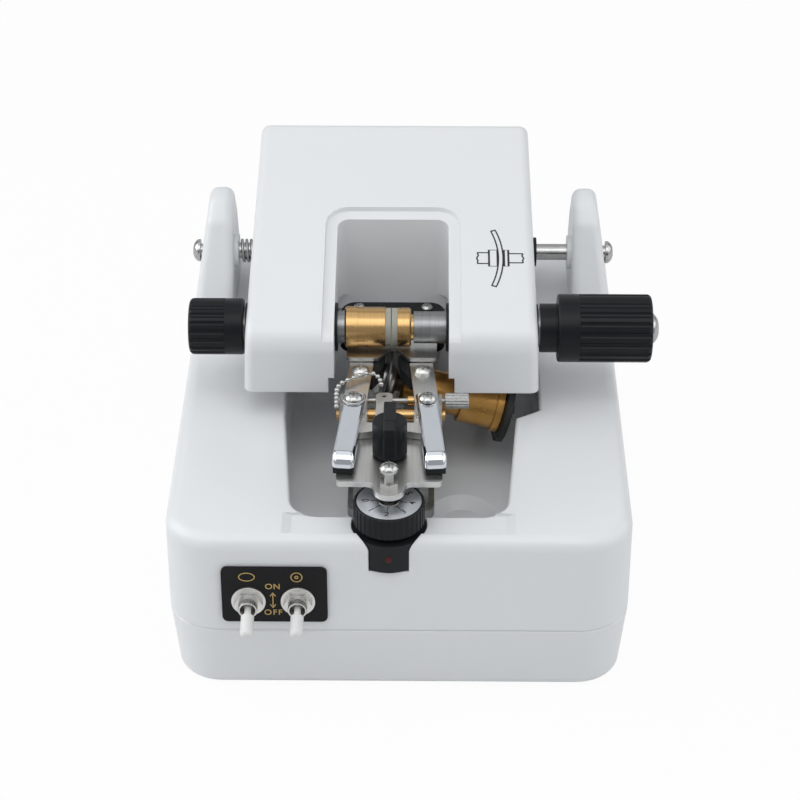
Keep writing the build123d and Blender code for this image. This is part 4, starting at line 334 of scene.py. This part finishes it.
METALS = {
    "steel": dict(
        dark=(0.56, 0.555, 0.54), light=(0.64, 0.635, 0.62), rough=(0.29, 0.37), groove=0.0012,
        stretch=ALONG_Y,
    ),
    "chrome": dict(
        dark=(0.68, 0.71, 0.76), light=(0.70, 0.73, 0.78), rough=(0.05, 0.08), groove=0.0002, edge=0.3
    ),
    "screw_steel": dict(
        dark=(0.44, 0.44, 0.43), light=(0.50, 0.50, 0.49), rough=(0.20, 0.26), groove=0.0006
    ),
    "shaft_grey": dict(
        dark=(0.25, 0.255, 0.26), light=(0.31, 0.315, 0.32), rough=(0.30, 0.38), groove=0.001,
        stretch=AROUND_X,
    ),
    "brass": dict(
        dark=(0.54, 0.34, 0.145), light=(0.58, 0.37, 0.16), rough=(0.24, 0.29), groove=0.0003,
        stretch=AROUND_X,
    ),
    # Painted shade: a darker, more orange copy of brass for the housing down in the basin, where shade
    # falls.
    "shaded_brass": dict(
        dark=(0.56, 0.30, 0.085), light=(0.62, 0.34, 0.105), rough=(0.26, 0.34), groove=0.0002, edge=0
    ),
    "dial_metal": dict(
        dark=(0.70, 0.73, 0.78), light=(0.80, 0.83, 0.88), rough=(0.38, 0.46), groove=0.001
    ),
    "tag_steel": dict(
        dark=(0.62, 0.62, 0.61), light=(0.70, 0.70, 0.69), rough=(0.46, 0.56), groove=0.001
    ),
    "nickel": dict(
        dark=(0.66, 0.65, 0.63), light=(0.72, 0.71, 0.69), rough=(0.26, 0.32), groove=0.0004
    ),
    "knurled": dict(
        dark=(0.34, 0.34, 0.335), light=(0.48, 0.48, 0.47), rough=(0.34, 0.46), groove=0.03, scale=320
    ),
    "pin_steel": dict(
        dark=(0.10, 0.10, 0.10), light=(0.15, 0.15, 0.145), rough=(0.3, 0.4), groove=0.001
    ),
    "wheel_steel": dict(
        dark=(0.05, 0.05, 0.05), light=(0.12, 0.12, 0.12), rough=(0.35, 0.5), groove=0.01
    ),
    "cast_grey": dict(
        dark=(0.30, 0.30, 0.30), light=(0.42, 0.42, 0.41), rough=(0.4, 0.55), groove=0.02
    ),
}
# Nodes that look different from the rest of their material slot.
NODE_LOOKS = {
    # The housing gets the brass copy with painted shade of the basin.
    "spindle_housing": "shaded_brass",
    "chain_tag": "tag_steel",
    "dial_plunger": "pin_steel",
    "toggle_switches": "nickel",
    "adjuster": "knurled",
}

LOOKS = {name: plastic(name, **look) for name, look in PLASTICS.items()}
LOOKS.update({name: metal(name, **look) for name, look in METALS.items()})


def dress_nodes():
    """Gives each CAD node the material of its own look or of its slot."""
    for part in frame["record"]["subparts"]:
        mesh = nodes[part["node"]].data
        mesh.materials.clear()
        mesh.materials.append(LOOKS[NODE_LOOKS.get(part["node"], part["material_slot"])])


# Print and small detail, in millimetres on a drawing plane.

PRINT_THICK = 0.03
PRINT_LIFT = 0.01  # off a flat face
SLOPE_LIFT = 0.02  # off the head's slope and the holder's round front
MITRE_LIMIT = 0.5  # keeps the corner of a sharp turn from growing into a spike
LETTER_BOLD = 0.03
CIRCLE_POINTS = 40
SMALL_CIRCLE_POINTS = 16
ROUND_SIDES = 32

PICTOGRAM_X = 37.0
PICTOGRAM_Y = 104.0
PICTOGRAM_LINE = 0.5
PICTOGRAM_LENS_RADII = (38.0, 36.4)
PICTOGRAM_LENS_CENTRE_X = -37.4
PICTOGRAM_LENS_HALF_ANGLE = radians(21)
PICTOGRAM_LENS_STEPS = 24
CHUCK_HALF_HEIGHT = 3.9
# Face at the lens, back, end of the shaft and its half height, of the left and the right chuck.
CHUCKS = [(-1.3, -4.2, -8.2, 2.6), (0.9, 2.4, 7.4, 2.2)]
# Points of a shaft's broken-off end: share of its half height and step outwards.
BROKEN_END = [(1, 0), (0.5, -0.4), (0, 0.2), (-0.5, -0.2), (-1, 0)]

PANEL_LETTER_SIZE = 3.0
PANEL_LINE = 0.32
PANEL_WORDS_X = -40.1
# Name, text, height and letter spacing.
PANEL_WORDS = [("panel_on", "ON", 43.5, 1.1), ("panel_off", "OFF", 33.2, 1.2)]
PANEL_ARROW_Z = 38.1
PANEL_SIGNS_Z = 47.3
PANEL_LENS_X = -48.3
PANEL_WHEEL_X = -32.4
ARROW_HALF_STEM = 2.6
ARROW_TIP = 2.9
ARROW_BARB = (0.9, 1.6)
LENS_SIGN_RADIUS = 2.5
LENS_SIGN_SQUASH = 0.62
WHEEL_SIGN_RADIUS = 1.75
WHEEL_SIGN_BORE = 0.5

DIAL_FIGURES = 8
DIAL_FIRST_ANGLE = pi  # at the left, and on round by the front
DIAL_STEP = radians(42.5)
DIAL_FIGURE_SIZE = 3.2
DIAL_FIGURE_RADIUS = 7.6
DIAL_LINE = 0.28
DIAL_LINE_RADII = (3.3, 5.9)

RED_DOT_Z = 54.7
# Radius and height of each ring of the dot's dome.
RED_DOT_RINGS = [(1.15, 0.0), (1.1, 0.1), (0.8, 0.2), (0.4, 0.26)]

THREAD_CREST = 0.1
THREAD_ROWS_PER_TURN = 6
LIMIT_THREAD_RADIUS = 1.5
LIMIT_THREAD_PITCH = 0.5
LIMIT_THREAD_Z = (77.0, 80.8)
SWITCH_THREAD_RADIUS = 3.0
SWITCH_THREAD_PITCH = 0.6
SWITCH_THREAD_Y = (-3.9, -6.5)


def add_piece(name, mesh, look, body):
    """Piece of the visual model that moves with a body."""
    piece = bpy.data.objects.new(name, mesh)
    mesh.materials.append(LOOKS[look])
    bpy.context.collection.objects.link(piece)
    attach(piece, body)


def add_built_piece(name, built, plane, look, body, smooth=False):
    """Piece from a bmesh that was built on its drawing plane."""
    built.transform(plane)
    mesh = bpy.data.meshes.new(name)
    built.to_mesh(mesh)
    built.free()
    if smooth:
        mesh.shade_smooth()
    add_piece(name, mesh, look, body)


def plane_at(origin, x_axis, y_axis):
    """Matrix of a drawing plane: its own x and y along two directions, z out of the surface."""
    x = Vector(x_axis).normalized()
    y = Vector(y_axis).normalized()
    rows = Matrix((x, y, x.cross(y))).transposed().to_4x4()
    rows.translation = origin
    return rows


def join_rings(built, rings):
    """Walls from each ring of points to the next."""
    for a, b in zip(rings, rings[1:]):
        for i in range(len(a)):
            j = (i + 1) % len(a)
            built.faces.new((a[i], a[j], b[j], b[i]))


def stroke_sides(points, closed, width):
    """The two edges of a line of this width along the points, mitred where it turns."""
    count = len(points)
    pairs = []
    for i, point in enumerate(points):
        before = points[i - 1] if i or closed else point
        after = points[(i + 1) % count] if i < count - 1 or closed else point
        along = (after - before).normalized()
        side = Vector((-along.y, along.x)) * width / 2
        if before != point and after != point:
            turn = (point - before).normalized().dot((after - point).normalized())
            side /= max(MITRE_LIMIT, ((1 + turn) / 2) ** 0.5)
        pairs.append((point + side, point - side))
    return pairs


def draw_strokes(name, strokes, width, plane, look, body):
    """Raised lines of print: each stroke is a list of points and whether it closes."""
    built = bmesh.new()
    for points, closed in strokes:
        sections = []
        for left, right in stroke_sides([Vector(p) for p in points], closed, width):
            corners = [(left, 0), (right, 0), (right, PRINT_THICK), (left, PRINT_THICK)]
            sections.append([built.verts.new((c.x * MM, c.y * MM, h * MM)) for c, h in corners])
        if closed:
            join_rings(built, sections + sections[:1])
        else:
            join_rings(built, sections)
            built.faces.new(sections[0])
            built.faces.new(reversed(sections[-1]))
    bmesh.ops.recalc_face_normals(built, faces=built.faces)
    add_built_piece(name, built, plane, look, body)


def circle_points(radius, count=CIRCLE_POINTS, squash=1.0):
    """Points of a circle round the origin; squash flattens it to an ellipse."""
    angles = [2 * pi * i / count for i in range(count)]
    return [(radius * cos(a), radius * squash * sin(a)) for a in angles]


def write_text(name, text, size, plane, look, body, spacing=1.0):
    """Lettering or figures as a thin mesh, centred on the plane's origin."""
    curve = bpy.data.curves.new(name + "_curve", "FONT")
    curve.space_character = spacing
    curve.body = text
    curve.size = size * MM
    curve.extrude = PRINT_THICK / 2 * MM
    curve.offset = LETTER_BOLD * MM
    curve.align_x = "CENTER"
    curve.align_y = "CENTER"
    helper = bpy.data.objects.new(name + "_helper", curve)
    bpy.context.collection.objects.link(helper)
    bpy.context.view_layer.update()
    mesh = bpy.data.meshes.new_from_object(helper)
    bpy.data.objects.remove(helper)
    mesh.name = name
    mesh.transform(plane)
    add_piece(name, mesh, look, body)


def chuck_strokes(face, back, shaft_end, shaft_half):
    """One chuck with its broken-off shaft, from the face at the lens outwards."""
    half = CHUCK_HALF_HEIGHT
    outwards = 1 if back > face else -1
    return [
        ([(face, half), (back, half), (back, -half), (face, -half)], True),
        ([(back, shaft_half), (shaft_end, shaft_half)], False),
        ([(back, -shaft_half), (shaft_end, -shaft_half)], False),
        ([(shaft_end + outwards * step, share * shaft_half) for share, step in BROKEN_END], False),
    ]


def head_pictogram():
    """Line drawing on the head: a lens on edge between two chucks on their shafts."""
    z = HEAD_FRONT_TOP_Z + (PICTOGRAM_Y - HEAD_FRONT_Y) * tan(HEAD_TOP_SLOPE)
    up = (0, cos(HEAD_TOP_SLOPE), sin(HEAD_TOP_SLOPE))
    plane = plane_at(mid(PICTOGRAM_X, PICTOGRAM_Y, z + SLOPE_LIFT), (1, 0, 0), up)
    half, steps = PICTOGRAM_LENS_HALF_ANGLE, PICTOGRAM_LENS_STEPS
    angles = [-half + 2 * half * i / steps for i in range(steps + 1)]
    front, back = [
        [(PICTOGRAM_LENS_CENTRE_X + radius * cos(a), radius * sin(a)) for a in angles]
        for radius in PICTOGRAM_LENS_RADII
    ]
    strokes = [(front + back[::-1], True)]
    for chuck in CHUCKS:
        strokes += chuck_strokes(*chuck)
    draw_strokes("head_pictogram", strokes, PICTOGRAM_LINE, plane, "print_black", "head")


def panel_print():
    """Gold marks of the switch panel: ON, OFF, a double arrow, a lens and a wheel."""

    def spot(x, z):
        return plane_at(at(x, -PANEL_THICK - PRINT_LIFT, z), (1, 0, 0), (0, 0, 1))

    def draw(name, strokes, x, z):
        draw_strokes(name, strokes, PANEL_LINE, spot(x, z), "print_gold", "root")

    for name, text, z, spacing in PANEL_WORDS:
        plane = spot(PANEL_WORDS_X, z)
        write_text(name, text, PANEL_LETTER_SIZE, plane, "print_gold", "root", spacing)
    width, height = ARROW_BARB
    arrow = [([(0, -ARROW_HALF_STEM), (0, ARROW_HALF_STEM)], False)]
    for end in (1, -1):
        arrow.append(([(-width, end * height), (0, end * ARROW_TIP), (width, end * height)], False))
    draw("panel_arrow", arrow, PANEL_WORDS_X, PANEL_ARROW_Z)
    lens = circle_points(LENS_SIGN_RADIUS, squash=LENS_SIGN_SQUASH)
    draw("panel_lens", [(lens, True)], PANEL_LENS_X, PANEL_SIGNS_Z)
    wheel = circle_points(WHEEL_SIGN_RADIUS)
    bore = circle_points(WHEEL_SIGN_BORE, SMALL_CIRCLE_POINTS)
    draw("panel_wheel", [(wheel, True), (bore, True)], PANEL_WHEEL_X, PANEL_SIGNS_Z)


def dial_print():
    """Figures on the dial, their feet to the rim, each at the end of a line from the middle."""
    centre = mid(0, DIAL_Y, DIAL_TOP_Z + PRINT_LIFT)
    strokes = []
    for figure in range(DIAL_FIGURES):
        angle = DIAL_FIRST_ANGLE + DIAL_STEP * figure
        out = Vector((cos(angle), sin(angle), 0))
        plane = plane_at(centre + out * DIAL_FIGURE_RADIUS * MM, (-out.y, out.x, 0), -out)
        write_text(f"dial_figure_{figure}", str(figure), DIAL_FIGURE_SIZE, plane, "print_black", "dial")
        strokes.append(([(r * out.x, r * out.y) for r in DIAL_LINE_RADII], False))
    plane = plane_at(centre, (1, 0, 0), (0, 1, 0))
    draw_strokes("dial_lines", strokes, DIAL_LINE, plane, "print_black", "dial")


def red_index():
    """Red dot on the dial holder's front."""
    built = bmesh.new()
    rings = []
    for radius, height in RED_DOT_RINGS:
        points = circle_points(radius, ROUND_SIDES)
        rings.append([built.verts.new((x * MM, y * MM, height * MM)) for x, y in points])
    join_rings(built, rings)
    built.faces.new(rings[-1])
    built.faces.new(reversed(rings[0]))
    plane = plane_at(mid(0, DIAL_Y - HOLDER_RADIUS - SLOPE_LIFT, RED_DOT_Z), (1, 0, 0), (0, 0, 1))
    add_built_piece("red_index", built, plane, "red_dot", "root", smooth=True)


def thread(name, radius, pitch, start, end, body):
    """Screw thread as a ridged tube from start to end."""
    axis = end - start
    length = axis.length / MM
    rows = int(length / pitch * THREAD_ROWS_PER_TURN)
    built = bmesh.new()
    rings = []
    for i in range(rows + 1):
        along = length * i / rows
        ring = []
        for j in range(ROUND_SIDES):
            phase = (along / pitch - j / ROUND_SIDES) % 1.0
            r = radius + THREAD_CREST * (1 - abs(2 * phase - 1))
            angle = 2 * pi * j / ROUND_SIDES
            ring.append(built.verts.new((r * cos(angle) * MM, r * sin(angle) * MM, along * MM)))
        rings.append(ring)
    join_rings(built, rings)
    plane = axis.to_track_quat("Z", "Y").to_matrix().to_4x4()
    plane.translation = start
    add_built_piece(name, built, plane, "screw_steel", body, smooth=True)


def limit_screw_thread():
    """Thread that shows above the limit screw's nut."""
    start, end = [mid(0, DIAL_Y, z) for z in LIMIT_THREAD_Z]
    thread("limit_screw_thread", LIMIT_THREAD_RADIUS, LIMIT_THREAD_PITCH, start, end, "guide_frame")


def switch_threads():
    """Threads of the two switches' bushes, in front of their nuts."""
    for name, side in (("lens", -1), ("wheel", 1)):
        x = SWITCH_MIDDLE_X + side * SWITCH_PITCH / 2
        start, end = [at(x, y, SWITCH_Z) for y in SWITCH_THREAD_Y]
        thread(f"{name}_switch_thread", SWITCH_THREAD_RADIUS, SWITCH_THREAD_PITCH, start, end, "root")


add_camera()
for lamp in LAMPS:
    add_lamp(*lamp)
set_world()
add_floor()
dress_nodes()
head_pictogram()
panel_print()
dial_print()
red_index()
limit_screw_thread()
switch_threads()
bpy.context.scene.view_settings.view_transform = "Standard"
